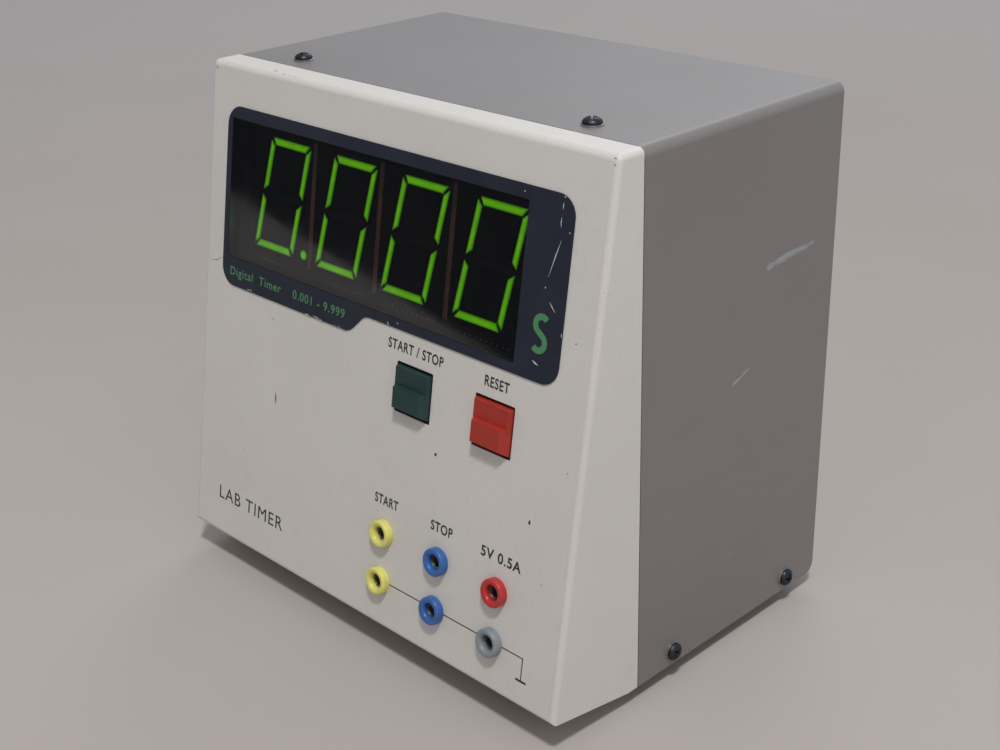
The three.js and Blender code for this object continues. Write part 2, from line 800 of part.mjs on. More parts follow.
const fuseHolderGeometry = turned(
  [
    [0, -fuse.length],
    [fuse.bodyRadius, -fuse.length],
    [fuse.bodyRadius, clearance],
    [fuse.flangeRadius, clearance],
    [fuse.flangeRadius, 2.5],
    [fuse.boreRadius, 2.5],
    [fuse.boreRadius, 3 - fuse.length],
    [0, 3 - fuse.length],
  ],
  20,
);
const fuseCapGeometry = cut(
  turned(
    [
      [0, -6],
      [4.2, -6],
      [4.2, 2.9],
      [6.8, 2.9],
      [6.8, 7.4],
      [6, 8.2],
      [0, 8.2],
    ],
    20,
  ),
  box(-7, 7, -0.8, 0.8, 6.8, 9),
);
const fusePlace = { x: fuse.x, y: rearFace, z: fuse.z };
addPiece(caseGroup, "fuse_holder", pointed(fuseHolderGeometry, axisY, fusePlace), blackPlastic);
addPiece(caseGroup, "fuse_cap", pointed(fuseCapGeometry, axisY, fusePlace), blackPlastic);

// ---------------------------------------------------------------- transformer and main board
function transformerCore() {
  const { x, y, legWidth, stack, bottom } = transformer;
  const half = 3 * legWidth;
  const height = 5 * legWidth;
  const [y0, y1] = [y - stack / 2, y + stack / 2];
  const windows = [-1, 1].map((side) => {
    const middle = x + side * 1.5 * legWidth;
    const [x0, x1] = [middle - legWidth / 2, middle + legWidth / 2];
    return box(x0, x1, y0 - 1, y1 + 1, bottom + legWidth, bottom + height - legWidth);
  });
  return cut(box(x - half, x + half, y0, y1, bottom, bottom + height), ...windows);
}

function transformerWinding() {
  const { x, y, legWidth, stack, bottom } = transformer;
  const outer = 2 * legWidth - 0.5;
  const inner = legWidth + 0.5;
  const z0 = bottom + legWidth + 0.5;
  const z1 = bottom + 4 * legWidth - 0.5;
  return cut(
    box(x - outer, x + outer, y - stack / 2 - 7, y + stack / 2 + 7, z0, z1),
    box(x - inner, x + inner, y - stack / 2 - 0.5, y + stack / 2 + 0.5, z0 - 1, z1 + 1),
  );
}
addPiece(caseGroup, "transformer_core", transformerCore(), iron);
addPiece(caseGroup, "transformer_winding", transformerWinding(), tape);

// The main board carries rows of dual-in-line chips in one piece with it.
function mainCircuitBoard() {
  const { left, right, front, back, bottom } = mainBoard;
  const { width, length, height } = chipBody;
  const top = bottom + boardSheet;
  const chips = range(chip.columns).flatMap((column) =>
    range(chip.rows).map((row) => {
      const x = left + chip.firstX + column * chip.pitchX;
      const y = front + chip.firstY + row * chip.pitchY;
      return box(x, x + width, y, y + length, top - 0.5, top + height);
    }),
  );
  return join(box(left, right, front, back, bottom, top), ...chips);
}
addPiece(caseGroup, "main_board", mainCircuitBoard(), circuit);

function smoothingCapacitor() {
  const { x, y, radius, height } = capacitor;
  const seat = mainBoard.bottom + boardSheet + clearance;
  return rod(radius, seat, seat + height, x, y, 20);
}
addPiece(caseGroup, "smoothing_capacitor", smoothingCapacitor(), navy);

// ---------------------------------------------------------------- place on the table
// The feet stand on z = 0, and the footprint's middle is the origin.
timer.updateMatrixWorld(true);
const extent = new THREE.Box3().setFromObject(timer, true);
caseGroup.position.set(0, -(extent.min.y + extent.max.y) / 2, footReach);

export default timer;
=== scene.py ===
"""A demonstration lab timer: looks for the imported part, built in mesh code around the CAD frame.

Lengths are in millimetres until a piece is placed: CASE takes case millimetres to the row frame and
FACE does the same for the sloping face, as (across, up the slope, outwards), or x, s and z.
"""

import json
import math
import random

import bmesh
import bpy
from mathutils import Matrix, Quaternion, Vector


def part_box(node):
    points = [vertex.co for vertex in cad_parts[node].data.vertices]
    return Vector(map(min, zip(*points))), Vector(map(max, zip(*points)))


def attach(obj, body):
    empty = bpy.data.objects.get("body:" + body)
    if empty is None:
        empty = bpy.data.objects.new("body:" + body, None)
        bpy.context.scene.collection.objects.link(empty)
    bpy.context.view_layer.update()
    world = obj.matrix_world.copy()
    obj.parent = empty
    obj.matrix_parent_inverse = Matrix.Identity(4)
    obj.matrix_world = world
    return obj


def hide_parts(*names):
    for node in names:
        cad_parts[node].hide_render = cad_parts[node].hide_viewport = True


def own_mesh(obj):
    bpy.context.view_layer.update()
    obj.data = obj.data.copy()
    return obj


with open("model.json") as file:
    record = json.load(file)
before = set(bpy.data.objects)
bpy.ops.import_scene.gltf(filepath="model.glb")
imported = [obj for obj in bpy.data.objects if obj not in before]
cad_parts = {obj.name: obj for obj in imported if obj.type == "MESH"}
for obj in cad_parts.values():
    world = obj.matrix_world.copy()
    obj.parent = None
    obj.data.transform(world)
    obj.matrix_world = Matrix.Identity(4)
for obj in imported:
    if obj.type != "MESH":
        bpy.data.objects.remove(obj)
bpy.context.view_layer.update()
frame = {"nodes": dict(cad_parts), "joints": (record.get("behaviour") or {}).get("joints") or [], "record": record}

MM = 0.001

# ---------------------------------------------------------------- the case's frame and main sizes
COVER_LOW, COVER_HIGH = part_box("cover")
SEAM_GAP = 0.4
CASE = Matrix.Translation((0, COVER_LOW.y - SEAM_GAP * MM, COVER_LOW.z)) @ Matrix.Scale(MM, 4)
HALF_WIDTH = (COVER_HIGH.x - COVER_LOW.x) / 2 / MM
HEIGHT = (COVER_HIGH.z - COVER_LOW.z) / MM
DEPTH = (COVER_HIGH.y - COVER_LOW.y) / MM + SEAM_GAP
COVER_SHEET = 1.2
COVER_BEND = 3.5
COVER_REAR_CORNER = 4.5

# The front panel's profile, as (y, z) in case millimetres.
FACE_FOOT = Vector((-42.0, 6.4))
FACE_HEAD = Vector((-10.6, HEIGHT))
FLOOR_END = Vector((-4.7, 0.0))
PANEL_SHEET = 1.6
PANEL_BEND = 2.1

SLOPE = (FACE_HEAD - FACE_FOOT).normalized()
FACE = CASE @ Matrix(
    (
        (1, 0, 0, 0),
        (0, SLOPE.x, -SLOPE.y, FACE_FOOT.x),
        (0, SLOPE.y, SLOPE.x, FACE_FOOT.y),
        (0, 0, 0, 1),
    )
)
FACE_INVERSE = FACE.inverted()
CASE_INVERSE = CASE.inverted()


def extent(node, inverse):
    """A CAD node's lowest and highest corners in case or face millimetres."""
    points = [inverse @ v.co for v in frame["nodes"][node].data.vertices]
    return Vector(map(min, zip(*points))), Vector(map(max, zip(*points)))


def joint(name):
    return next(row for row in frame["joints"] if row["name"] == name)


def face_middle(node):
    low, high = extent(node, FACE_INVERSE)
    return (low.x + high.x) / 2, (low.y + high.y) / 2


# ---------------------------------------------------------------- shapes
def rounded(corners, steps=6):
    """An outline from (x, y, radius) corners, each rounded with an arc."""
    outline = []
    count = len(corners)
    for i, (x, y, radius) in enumerate(corners):
        corner = Vector((x, y))
        before = (Vector(corners[i - 1][:2]) - corner).normalized()
        after = (Vector(corners[(i + 1) % count][:2]) - corner).normalized()
        if radius <= 0:
            outline.append(corner)
            continue
        half = before.angle(after) / 2
        centre = corner + (before + after).normalized() * (radius / math.sin(half))
        start = corner + before * (radius / math.tan(half)) - centre
        end = corner + after * (radius / math.tan(half)) - centre
        sweep = math.atan2(start.cross(end), start.dot(end))
        for k in range(steps + 1):
            turn = sweep * k / steps
            outline.append(centre + Matrix.Rotation(turn, 2) @ start)
    return outline


def rectangle(x0, x1, y0, y1, radius=0.0):
    return rounded([(x0, y0, radius), (x1, y0, radius), (x1, y1, radius), (x0, y1, radius)])


def spokes(count):
    """Unit vectors that divide a full turn evenly."""
    angles = (2 * math.pi * k / count for k in range(count))
    return [Vector((math.cos(a), math.sin(a))) for a in angles]


def centred(half_x, half_y, radius=0.0):
    return rectangle(-half_x, half_x, -half_y, half_y, radius)


def square(x, y, half, radius):
    return rectangle(x - half, x + half, y - half, y + half, radius)


def bridge(bm, loops):
    """Joins each loop of vertices to the next with a band of faces."""
    for low, high in zip(loops, loops[1:]):
        for i in range(len(low)):
            j = (i + 1) % len(low)
            bm.faces.new((low[i], low[j], high[j], high[i]))


def loft(rings):
    """A solid through rings of points, capped at both ends."""
    bm = bmesh.new()
    loops = [[bm.verts.new(p) for p in ring] for ring in rings]
    bridge(bm, loops)
    bm.faces.new(list(reversed(loops[0])))
    bm.faces.new(loops[-1])
    bmesh.ops.recalc_face_normals(bm, faces=bm.faces)
    return bm


def prism(outline, z0, z1):
    return loft([[(p[0], p[1], z) for p in outline] for z in (z0, z1)])


def block(x0, x1, y0, y1, z0, z1):
    return prism([(x0, y0), (x1, y0), (x1, y1), (x0, y1)], z0, z1)


def turned(profile, sides=48):
    """A body turned about Z from (radius, z) points, which start and end on the axis, or close."""
    bm = bmesh.new()
    on_axis = profile[0][0] == 0
    inner = profile[1:-1] if on_axis else profile
    loops = []
    angles = [2 * math.pi * k / sides for k in range(sides)]
    for radius, z in inner:
        loops.append([bm.verts.new((radius * math.cos(a), radius * math.sin(a), z)) for a in angles])
    bridge(bm, loops if on_axis else loops + loops[:1])
    if on_axis:
        for loop, z in ((loops[0], profile[0][1]), (loops[-1], profile[-1][1])):
            tip = bm.verts.new((0, 0, z))
            for i in range(sides):
                bm.faces.new((loop[i], loop[(i + 1) % sides], tip))
    bmesh.ops.recalc_face_normals(bm, faces=bm.faces)
    return bm


def cylinder(radius, z0, z1):
    return turned([(0, z0), (radius, z0), (radius, z1), (0, z1)])


def arc(centre, radius, start, end, steps=6):
    """Profile points on an arc, with angles in degrees."""
    angles = [math.radians(start + (end - start) * k / steps) for k in range(steps + 1)]
    return [(centre[0] + radius * math.cos(a), centre[1] + radius * math.sin(a)) for a in angles]


def merged(parts):
    """Several bmeshes as the loose parts of one."""
    whole = bmesh.new()
    for part in parts:
        mesh = bpy.data.meshes.new("part")
        part.to_mesh(mesh)
        part.free()
        whole.from_mesh(mesh)
        bpy.data.meshes.remove(mesh)
    return whole


def moved(bm, *shift):
    bmesh.ops.translate(bm, verts=bm.verts, vec=shift)
    return bm


# ---------------------------------------------------------------- pieces
def new_object(name, bm):
    mesh = bpy.data.meshes.new(name)
    bm.to_mesh(mesh)
    bm.free()
    obj = bpy.data.objects.new(name, mesh)
    bpy.context.scene.collection.objects.link(obj)
    return obj


def apply_modifiers(obj):
    graph = bpy.context.evaluated_depsgraph_get()
    mesh = bpy.data.meshes.new_from_object(obj.evaluated_get(graph))
    obj.modifiers.clear()
    old = obj.data
    obj.data = mesh
    mesh.name = obj.name
    bpy.data.meshes.remove(old)


def combine(obj, operation, tools):
    """Cuts each of the tools from the object, or joins each to it."""
    helpers = [new_object("tool", tool) for tool in tools]
    for helper in helpers:
        modifier = obj.modifiers.new("combine", "BOOLEAN")
        modifier.operation = operation
        modifier.solver = "EXACT"
        modifier.object = helper
    apply_modifiers(obj)
    for helper in helpers:
        mesh = helper.data
        bpy.data.objects.remove(helper)
        bpy.data.meshes.remove(mesh)


def soften(obj, width, segments=3, angle=30):
    """Rounds every edge that is sharper than the angle, in degrees."""
    modifier = obj.modifiers.new("soften", "BEVEL")
    modifier.width = width
    modifier.segments = segments
    modifier.limit_method = "ANGLE"
    modifier.angle_limit = math.radians(angle)
    modifier.use_clamp_overlap = True
    apply_modifiers(obj)


def smooth(obj, angle=40):
    """Smooth shading up to the angle, with flat faces kept flat."""
    obj.data.shade_smooth()
    obj.data.set_sharp_from_angle(angle=math.radians(angle))
    modifier = obj.modifiers.new("flat faces", "WEIGHTED_NORMAL")
    modifier.keep_sharp = True
    modifier.weight = 90


def place(obj, matrix, finish, slot, nodes=(), body="case"):
    """Puts a finished mesh in the row frame, gives it its looks, and hands it to the frame."""
    obj.data.transform(matrix)
    if not obj.data.materials:
        obj.data.materials.append(finish)
    smooth(obj)
    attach(obj, body)
    if nodes:
        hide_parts(*nodes)
    return obj


# ---------------------------------------------------------------- finishes
def screen(red, green, blue):
    """A colour in 0-255 screen values, as the linear values that shaders take."""
    values = [c / 255 for c in (red, green, blue)]
    return tuple(v / 12.92 if v <= 0.04045 else ((v + 0.055) / 1.055) ** 2.4 for v in values)


def shade(colour, factor):
    return tuple(c * factor for c in colour)


# A wave texture of scale one repeats every 0.314 units.
WAVE_SCALE = 0.314
# The sockets of a Mix node that carry colours.
MIX_INPUTS = (6, 7)
MIX_OUTPUT = 2
# The reach at which a patch begins to fade, and where it ends, as shares of its half size.
PATCH_EDGE = (0.75, 1.05)


class Finish:
    """A Principled material, with short calls for its texture nodes. Texture sizes are in
    millimetres on the object."""

    def __init__(self, name, colour, roughness, metallic=0.0, sockets=()):
        self.material = bpy.data.materials.new(name)
        self.material.use_nodes = True
        self.tree = self.material.node_tree
        self.shader = self.tree.nodes["Principled BSDF"]
        values = {"Base Color": (*colour, 1), "Roughness": roughness, "Metallic": metallic}
        for socket, value in (values | dict(sockets)).items():
            self.shader.inputs[socket].default_value = value
        self.place = self.tree.nodes.new("ShaderNodeTexCoord").outputs["Object"]

    def node(self, kind, values=(), **settings):
        node = self.tree.nodes.new(kind)
        for key, value in settings.items():
            setattr(node, key, value)
        for socket, value in dict(values).items():
            if isinstance(value, bpy.types.NodeSocket):
                self.tree.links.new(value, node.inputs[socket])
            elif value is not None:
                node.inputs[socket].default_value = value
        return node

    def stretched(self, across, along, up):
        """Coordinates in which a texture is that many times as long on each axis."""
        scale = (1 / across, 1 / along, 1 / up)
        return self.node("ShaderNodeMapping", {"Vector": self.place, "Scale": scale}).outputs[0]

    def noise(self, size, detail=2.0, roughness=0.5, place=None):
        values = {
            "Vector": place or self.place,
            "Scale": 1 / (size * MM),
            "Detail": detail,
            "Roughness": roughness,
        }
        return self.node("ShaderNodeTexNoise", values).outputs["Fac"]

    def cells(self, size):
        """The distance from the nearest of many scattered points."""
        values = {"Vector": self.place, "Scale": 1 / (size * MM)}
        return self.node("ShaderNodeTexVoronoi", values).outputs["Distance"]

    def bands(self, pitch, axis, distortion=0.0):
        scale = WAVE_SCALE / (pitch * MM)
        values = {"Vector": self.place, "Scale": scale, "Distortion": distortion}
        return self.node("ShaderNodeTexWave", values, bands_direction=axis).outputs["Fac"]

    def span(self, value, low, high, to_low=0.0, to_high=1.0):
        values = {0: value, 1: low, 2: high, 3: to_low, 4: to_high}
        return self.node("ShaderNodeMapRange", values).outputs[0]

    def maths(self, operation, first, second):
        return self.node("ShaderNodeMath", {0: first, 1: second}, operation=operation).outputs[0]

    def product(self, first, second):
        return self.maths("MULTIPLY", first, second)

    def patch(self, centre, size, turn=0.0, ragged=0.6, grain=1.0):
        """One inside a ragged ellipsoid at a place on the case, fading to nothing outside it."""
        values = {
            "Vector": self.place,
            "Location": CASE @ Vector(centre),
            "Rotation": (math.radians(turn), 0, 0),
            "Scale": Vector(size) * MM,
        }
        inside = self.node("ShaderNodeMapping", values, vector_type="TEXTURE").outputs[0]
        reach = self.node("ShaderNodeVectorMath", {0: inside}, operation="LENGTH").outputs["Value"]
        rough = self.product(self.maths("ADD", self.noise(grain, 3), -0.5), ragged * 2)
        return self.span(self.maths("ADD", reach, rough), *PATCH_EDGE, 1, 0)

    def either(self, masks):
        """The strongest of several masks."""
        strongest = masks[0]
        for mask in masks[1:]:
            strongest = self.maths("MAXIMUM", strongest, mask)
        return strongest

    def blend(self, factor, first, second):
        node = self.node("ShaderNodeMix", {0: factor}, data_type="RGBA")
        for index, value in zip(MIX_INPUTS, (first, second)):
            if isinstance(value, bpy.types.NodeSocket):
                self.tree.links.new(value, node.inputs[index])
            else:
                node.inputs[index].default_value = (*value, 1)
        return node.outputs[MIX_OUTPUT]

    def paint(self, socket):
        self.tree.links.new(socket, self.shader.inputs["Base Color"])

    def gloss(self, socket):
        self.tree.links.new(socket, self.shader.inputs["Roughness"])

    def relief(self, *layers):
        """Bump from (height, depth in millimetres) layers."""
        normal = None
        for height, depth in layers:
            values = {"Height": height, "Distance": depth * MM, "Normal": normal}
            normal = self.node("ShaderNodeBump", values).outputs[0]
        self.tree.links.new(normal, self.shader.inputs["Normal"])
        return self


def cream_paint():
    """Old cream enamel: faint mottling, smudges, dust specks, a soft orange peel, and paint
    chipped to the primer along the top bend."""
    f = Finish("cream_paint", screen(211, 207, 202), 0.42, sockets={"Specular IOR Level": 0.4})
    broad = f.span(f.noise(55, 3), 0.3, 0.7)
    colour = f.blend(broad, screen(213, 209, 204), screen(208, 204, 197))
    smudge = f.span(f.noise(16, 5, 0.62), 0.56, 0.8, 0, 0.4)
    colour = f.blend(smudge, colour, screen(198, 193, 183))
    grain = f.span(f.noise(0.7, 2), 0.3, 0.7, 0, 0.42)
    colour = f.blend(grain, colour, screen(194, 191, 186))
    speck = f.product(f.span(f.cells(14), 0.016, 0.028, 1, 0), f.span(f.noise(30, 1), 0.52, 0.6))
    colour = f.blend(speck, colour, screen(104, 96, 86))
    chips = f.either([f.patch(place, size) for place, size in PAINT_CHIPS])
    colour = f.blend(f.product(chips, 0.8), colour, screen(96, 92, 86))
    f.paint(colour)
    f.gloss(f.span(f.noise(22, 4), 0.3, 0.7, 0.38, 0.5))
    return f.relief((f.noise(1.6, 2), 0.03), (f.noise(0.5, 2), 0.008), (chips, -0.06)).material


def taupe_paint():
    """Fine-grained satin paint on the cover and the rear panel, with a few pale rubs."""
    f = Finish("taupe_paint", screen(119, 114, 113), 0.42, sockets={"Specular IOR Level": 0.6})
    broad = f.span(f.noise(70, 3), 0.3, 0.7)
    colour = f.blend(broad, screen(120, 114, 114), screen(115, 110, 107))
    grain = f.span(f.noise(0.5, 3, 0.7), 0.35, 0.65)
    colour = f.blend(f.product(grain, 0.45), colour, screen(134, 129, 127))
    pits = f.span(f.noise(0.8, 2, 0.6), 0.6, 0.75, 0, 0.5)
    colour = f.blend(pits, colour, screen(95, 90, 89))
    streak = f.noise(5, 4, 0.6, f.stretched(1, 6, 1))
    where = f.span(f.noise(45, 2), 0.58, 0.72)
    rub = f.product(f.span(streak, 0.62, 0.74, 0, 0.3), where)
    colour = f.blend(rub, colour, screen(158, 157, 156))
    scuffs = f.either([f.patch(place, size, turn, 0.9, 6) for place, size, turn in COVER_SCUFFS])
    brushed = f.span(f.noise(0.9, 3, 0.6, f.stretched(1, 12, 2)), 0.3, 0.7, 0.2, 0.75)
    colour = f.blend(f.product(scuffs, brushed), colour, screen(168, 172, 176))
    f.paint(colour)
    f.gloss(f.span(f.noise(60, 2), 0.3, 0.7, 0.4, 0.46))
    return f.relief((f.noise(0.75, 3, 0.6), 0.045), (f.noise(0.3, 1), 0.012)).material


def navy_plate():
    """Dark blue enamelled plate, slightly chalky, with hairline rubs."""
    f = Finish("navy_plate", screen(36, 41, 54), 0.45, sockets={"Specular IOR Level": 0.22})
    broad = f.span(f.noise(18, 4), 0.35, 0.7)
    colour = f.blend(broad, screen(34, 39, 52), screen(41, 45, 58))
    grain = f.span(f.noise(0.35, 2), 0.45, 0.7, 0, 0.3)
    colour = f.blend(grain, colour, screen(52, 56, 68))
    hair = f.noise(0.5, 2, 0.5, f.stretched(1, 14, 14))
    rub = f.product(f.span(hair, 0.7, 0.78, 0, 0.5), f.span(f.noise(20, 1), 0.5, 0.65))
    colour = f.blend(rub, colour, screen(84, 88, 98))
    f.paint(colour)
    f.gloss(f.span(f.noise(9, 4), 0.3, 0.7, 0.4, 0.52))
    return f.relief((f.noise(0.6, 2), 0.01)).material


def smoked_window():
    """Smoked acrylic: dark, glossy and half clear, with a little dust on it."""
    sockets = {"Alpha": 0.52, "IOR": 1.75, "Specular IOR Level": 0.85}
    f = Finish("smoked_window", screen(8, 8, 10), 0.06, sockets=sockets)
    dust = f.product(f.span(f.cells(5), 0.016, 0.03, 1, 0), f.span(f.noise(14, 2), 0.5, 0.62))
    haze = f.span(f.noise(24, 5, 0.6), 0.5, 0.85, 0, 0.3)
    colour = f.blend(haze, screen(9, 10, 11), screen(34, 27, 22))
    f.paint(f.blend(dust, colour, screen(120, 118, 112)))
    f.gloss(f.span(f.noise(24, 5, 0.6), 0.4, 0.8, 0.04, 0.1))
    return f.material


def module_black():
    """The matt black filter of a digit module."""
    f = Finish("module_black", screen(13, 14, 13), 0.6, sockets={"Specular IOR Level": 0.2})
    f.paint(f.blend(f.noise(5, 4), screen(10, 11, 10), screen(18, 19, 18)))
    f.gloss(f.span(f.noise(7, 3), 0.3, 0.7, 0.55, 0.7))
    return f.relief((f.noise(3, 2), 0.004)).material


def lit_segment():
    """A green segment that glows, brighter along its middle than at its rim."""
    f = Finish("display_green", screen(40, 70, 10), 0.4, sockets={"Emission Strength": 2.9})
    glow = f.span(f.noise(6, 2), 0.3, 0.7)
    core = f.blend(glow, screen(84, 166, 0), screen(104, 184, 0))
    rim = f.node("ShaderNodeAttribute", attribute_name="rim").outputs["Fac"]
    colour = f.blend(rim, core, screen(56, 118, 6))
    f.tree.links.new(colour, f.shader.inputs["Emission Color"])
    return f.material


def dark_segment():
    """The unlit middle segments and points: dull green diffuser plastic."""
    f = Finish("display_dark", screen(12, 18, 13), 0.5)
    f.paint(f.blend(f.noise(2, 3), screen(10, 15, 11), screen(16, 23, 16)))
    return f.relief((f.noise(0.5, 2), 0.01)).material


def plastic(name, colour, roughness=0.35, dirt=0.3):
    """Moulded plastic, with a fine skin, a little dirt and slight wear."""
    f = Finish(name, colour, roughness, sockets={"IOR": 1.5})
    tone = f.blend(f.span(f.noise(4, 4), 0.3, 0.7), colour, shade(colour, 0.86))
    dirty = f.span(f.noise(2.2, 5, 0.65), 0.52, 0.75, 0, dirt)
    f.paint(f.blend(dirty, tone, shade(colour, 0.55)))
    f.gloss(f.span(f.noise(1.5, 4), 0.3, 0.7, roughness - 0.06, roughness + 0.1))
    return f.relief((f.noise(0.28, 2), 0.01), (f.noise(3, 2), 0.02)).material


def metal(name, colour, roughness, wear=1.3, size=1.5):
    """Worn metal or a metal coating, duller and brighter in patches."""
    f = Finish(name, colour, roughness, metallic=1.0)
    tone = f.blend(f.span(f.noise(size, 4), 0.35, 0.7), colour, shade(colour, wear))
    stain = f.span(f.noise(size * 3, 5, 0.65), 0.5, 0.8, 0, 0.6)
    f.paint(f.blend(stain, tone, shade(colour, 0.6)))
    f.gloss(f.span(f.noise(size, 4), 0.3, 0.7, roughness - 0.08, roughness + 0.14))
    return f.relief((f.noise(0.3, 3), 0.012)).material


def nickel():
    """Dull nickel plate on the socket contacts, its colours painted darker than bare nickel as the shade deep
    inside the socket bores.
    """
    f = Finish("nickel", screen(150, 148, 142), 0.42, metallic=0.45)
    tarnish = f.span(f.noise(1.2, 4, 0.6), 0.35, 0.7)
    # Both colours are painted dark as shade in the bores; the noise that picks between them is tarnish.
    f.paint(f.blend(tarnish, screen(116, 114, 110), screen(74, 71, 66)))
    f.gloss(f.span(f.noise(0.8, 3), 0.3, 0.7, 0.3, 0.5))
    return f.relief((f.noise(0.3, 2), 0.01)).material


def print_ink(name, colour):
    """Screen-printed ink, thin in places."""
    f = Finish(name, colour, 0.5)
    thin = f.span(f.noise(0.6, 4, 0.7), 0.5, 0.75, 0, 0.35)
    f.paint(f.blend(thin, colour, [0.6 * c + 0.06 for c in colour]))
    return f.relief((f.noise(0.3, 2), 0.006)).material


def rubber():
    f = Finish("rubber", screen(34, 33, 33), 0.75)
    dusty = f.span(f.noise(1.2, 5, 0.7), 0.4, 0.75)
    f.paint(f.blend(dusty, screen(28, 28, 28), screen(52, 50, 48)))
    return f.relief((f.noise(0.4, 3), 0.04)).material


def circuit_board():
    """Green laminate with tinned tracks under the mask."""
    f = Finish("circuit_board", screen(38, 78, 44), 0.4)
    tracks = f.node("ShaderNodeTexBrick", {"Vector": f.place, "Scale": 1 / (7 * MM)}).outputs["Fac"]
    colour = f.blend(f.noise(9, 2), screen(34, 72, 42), screen(44, 86, 50))
    colour = f.blend(f.product(tracks, 0.5), colour, screen(96, 132, 84))
    joint = f.span(f.cells(2.54), 0.12, 0.18, 1, 0)
    colour = f.blend(joint, colour, screen(176, 178, 176))
    f.paint(colour)
    return f.relief((tracks, 0.03), (joint, 0.3)).material


def transformer_iron():
    """Stacked core sheets, varnished."""
    f = Finish("transformer_iron", screen(92, 86, 80), 0.45, metallic=0.6)
    sheets = f.bands(0.5, "Y")
    colour = f.blend(sheets, screen(70, 66, 62), screen(108, 100, 92))
    f.paint(f.blend(f.span(f.noise(6, 4), 0.5, 0.7, 0, 0.6), colour, screen(84, 58, 40)))
    return f.relief((sheets, 0.12)).material


def winding_tape():
    """Yellow tape laid round a coil, with its overlapping edges showing."""
    f = Finish("winding_tape", screen(196, 172, 74), 0.35)
    laps = f.bands(5, "Z", 0.4)
    colour = f.blend(f.span(laps, 0.75, 0.95, 0, 0.7), screen(200, 178, 80), screen(150, 124, 48))
    f.paint(colour)
    return f.relief((laps, 0.15), (f.noise(1, 3), 0.03)).material


def capacitor_sleeve():
    f = Finish("capacitor_sleeve", screen(30, 36, 66), 0.28)
    stripe = f.span(f.bands(28, "X"), 0.85, 0.9)
    colour = f.blend(f.noise(6, 3), screen(26, 32, 60), screen(36, 42, 76))
    f.paint(f.blend(stripe, colour, screen(170, 172, 178)))
    return f.relief((f.noise(2.5, 3), 0.05)).material


# Marks in the paint, in case millimetres: (place, half sizes), and the turn up to the rear.
PAINT_CHIPS = [
    ((-65.6, -8.0, 189.2), (0.5, 0.5, 0.5)),
    ((-64.2, -8.4, 189.2), (0.6, 0.4, 0.5)),
    ((-60.1, -8.9, 189.1), (0.35, 0.3, 0.4)),
    ((-58.4, -9.2, 189.0), (0.6, 0.4, 0.5)),
    ((-55.4, -9.2, 189.0), (0.35, 0.3, 0.4)),
    ((-53.3, -9.1, 189.0), (0.5, 0.4, 0.4)),
    ((-51.9, -9.3, 189.0), (0.3, 0.3, 0.3)),
    ((-29.0, -9.2, 189.0), (0.3, 0.3, 0.3)),
    ((98.2, -10.4, 188.0), (0.7, 0.35, 0.35)),
    ((98.4, -11.0, 186.3), (0.3, 0.3, 0.3)),
    ((-97.0, -11.2, 186.6), (0.45, 0.4, 0.5)),
]
COVER_SCUFFS = [
    ((100, 76, 135.5), (2, 12.5, 1.6), 4),
    ((100, 52, 99), (2, 5, 0.6), 20),
    ((-100, 60, 90), (2, 9, 1.2), -12),
]

# One finish for each material slot.
FINISHES = {
    "cream_paint": cream_paint(),
    "taupe_paint": taupe_paint(),
    "navy_plate": navy_plate(),
    "smoked_window": smoked_window(),
    "display_green": lit_segment(),
    "display_dark": dark_segment(),
    "joint_strip": plastic("joint_strip", screen(212, 150, 126), 0.5),
    "black_print": print_ink("black_print", screen(40, 42, 45)),
    "green_print": print_ink("green_print", screen(72, 134, 88)),
    "green_key": plastic("green_key", screen(24, 57, 55), 0.45),
    "red_key": plastic("red_key", screen(168, 45, 34), 0.45),
    "yellow_socket": plastic("yellow_socket", screen(224, 218, 118), 0.33, 0.15),
    "blue_socket": plastic("blue_socket", screen(52, 100, 166), 0.33, 0.2),
    "red_socket": plastic("red_socket", screen(186, 48, 50), 0.33, 0.2),
    "grey_socket": plastic("grey_socket", screen(134, 141, 148), 0.38, 0.25),
    "black_plastic": plastic("black_plastic", screen(30, 30, 31), 0.4),
    "rubber": rubber(),
    "black_steel": metal("black_steel", screen(60, 62, 68), 0.4, 1.4),
    "plated_steel": metal("plated_steel", screen(176, 176, 173), 0.34, 1.1, 6),
    "brass": metal("brass", screen(206, 196, 170), 0.24, 1.15, 2),
    "circuit_board": circuit_board(),
    "transformer_iron": transformer_iron(),
    "winding_tape": winding_tape(),
    "capacitor_sleeve": capacitor_sleeve(),
}
# Finishes that single pieces wear in place of their slot's.
MODULE_BLACK = module_black()
NICKEL = nickel()
WHITE_PRINT = print_ink("white_print", screen(214, 212, 206))


def add(name, obj, matrix, slot, nodes=(), body="case", finish=None):
    """A piece with one finish, which is its slot's unless it is named."""
    obj.name = name
    return place(obj, matrix, finish or FINISHES[slot], slot, nodes, body)


# ---------------------------------------------------------------- painted case
WINDOW_LOW, WINDOW_HIGH = extent("window_pane", FACE_INVERSE)
PANE_BORDER = 2.5 + 0.3
PANE_GAP = 0.3
WINDOW = (
    WINDOW_LOW.x + PANE_BORDER - PANE_GAP,
    WINDOW_HIGH.x - PANE_BORDER + PANE_GAP,
    WINDOW_LOW.y + PANE_BORDER - PANE_GAP,
    WINDOW_HIGH.y - PANE_BORDER + PANE_GAP,
)
WINDOW_ROOM = 1.6
KEYS = {"start_stop_key": "green_key", "reset_key": "red_key"}
KEY_OPENING = 18.0
SOCKETS = {
    "start_socket_upper": "yellow_socket",
    "start_socket_lower": "yellow_socket",
    "stop_socket_upper": "blue_socket",
    "stop_socket_lower": "blue_socket",
    "supply_socket_upper": "red_socket",
    "supply_socket_lower": "grey_socket",
}
SOCKET_NECK = 3.9
SOCKET_ROOM = 0.3
SOCKET_SHIFT = Vector((0.4, -0.4))


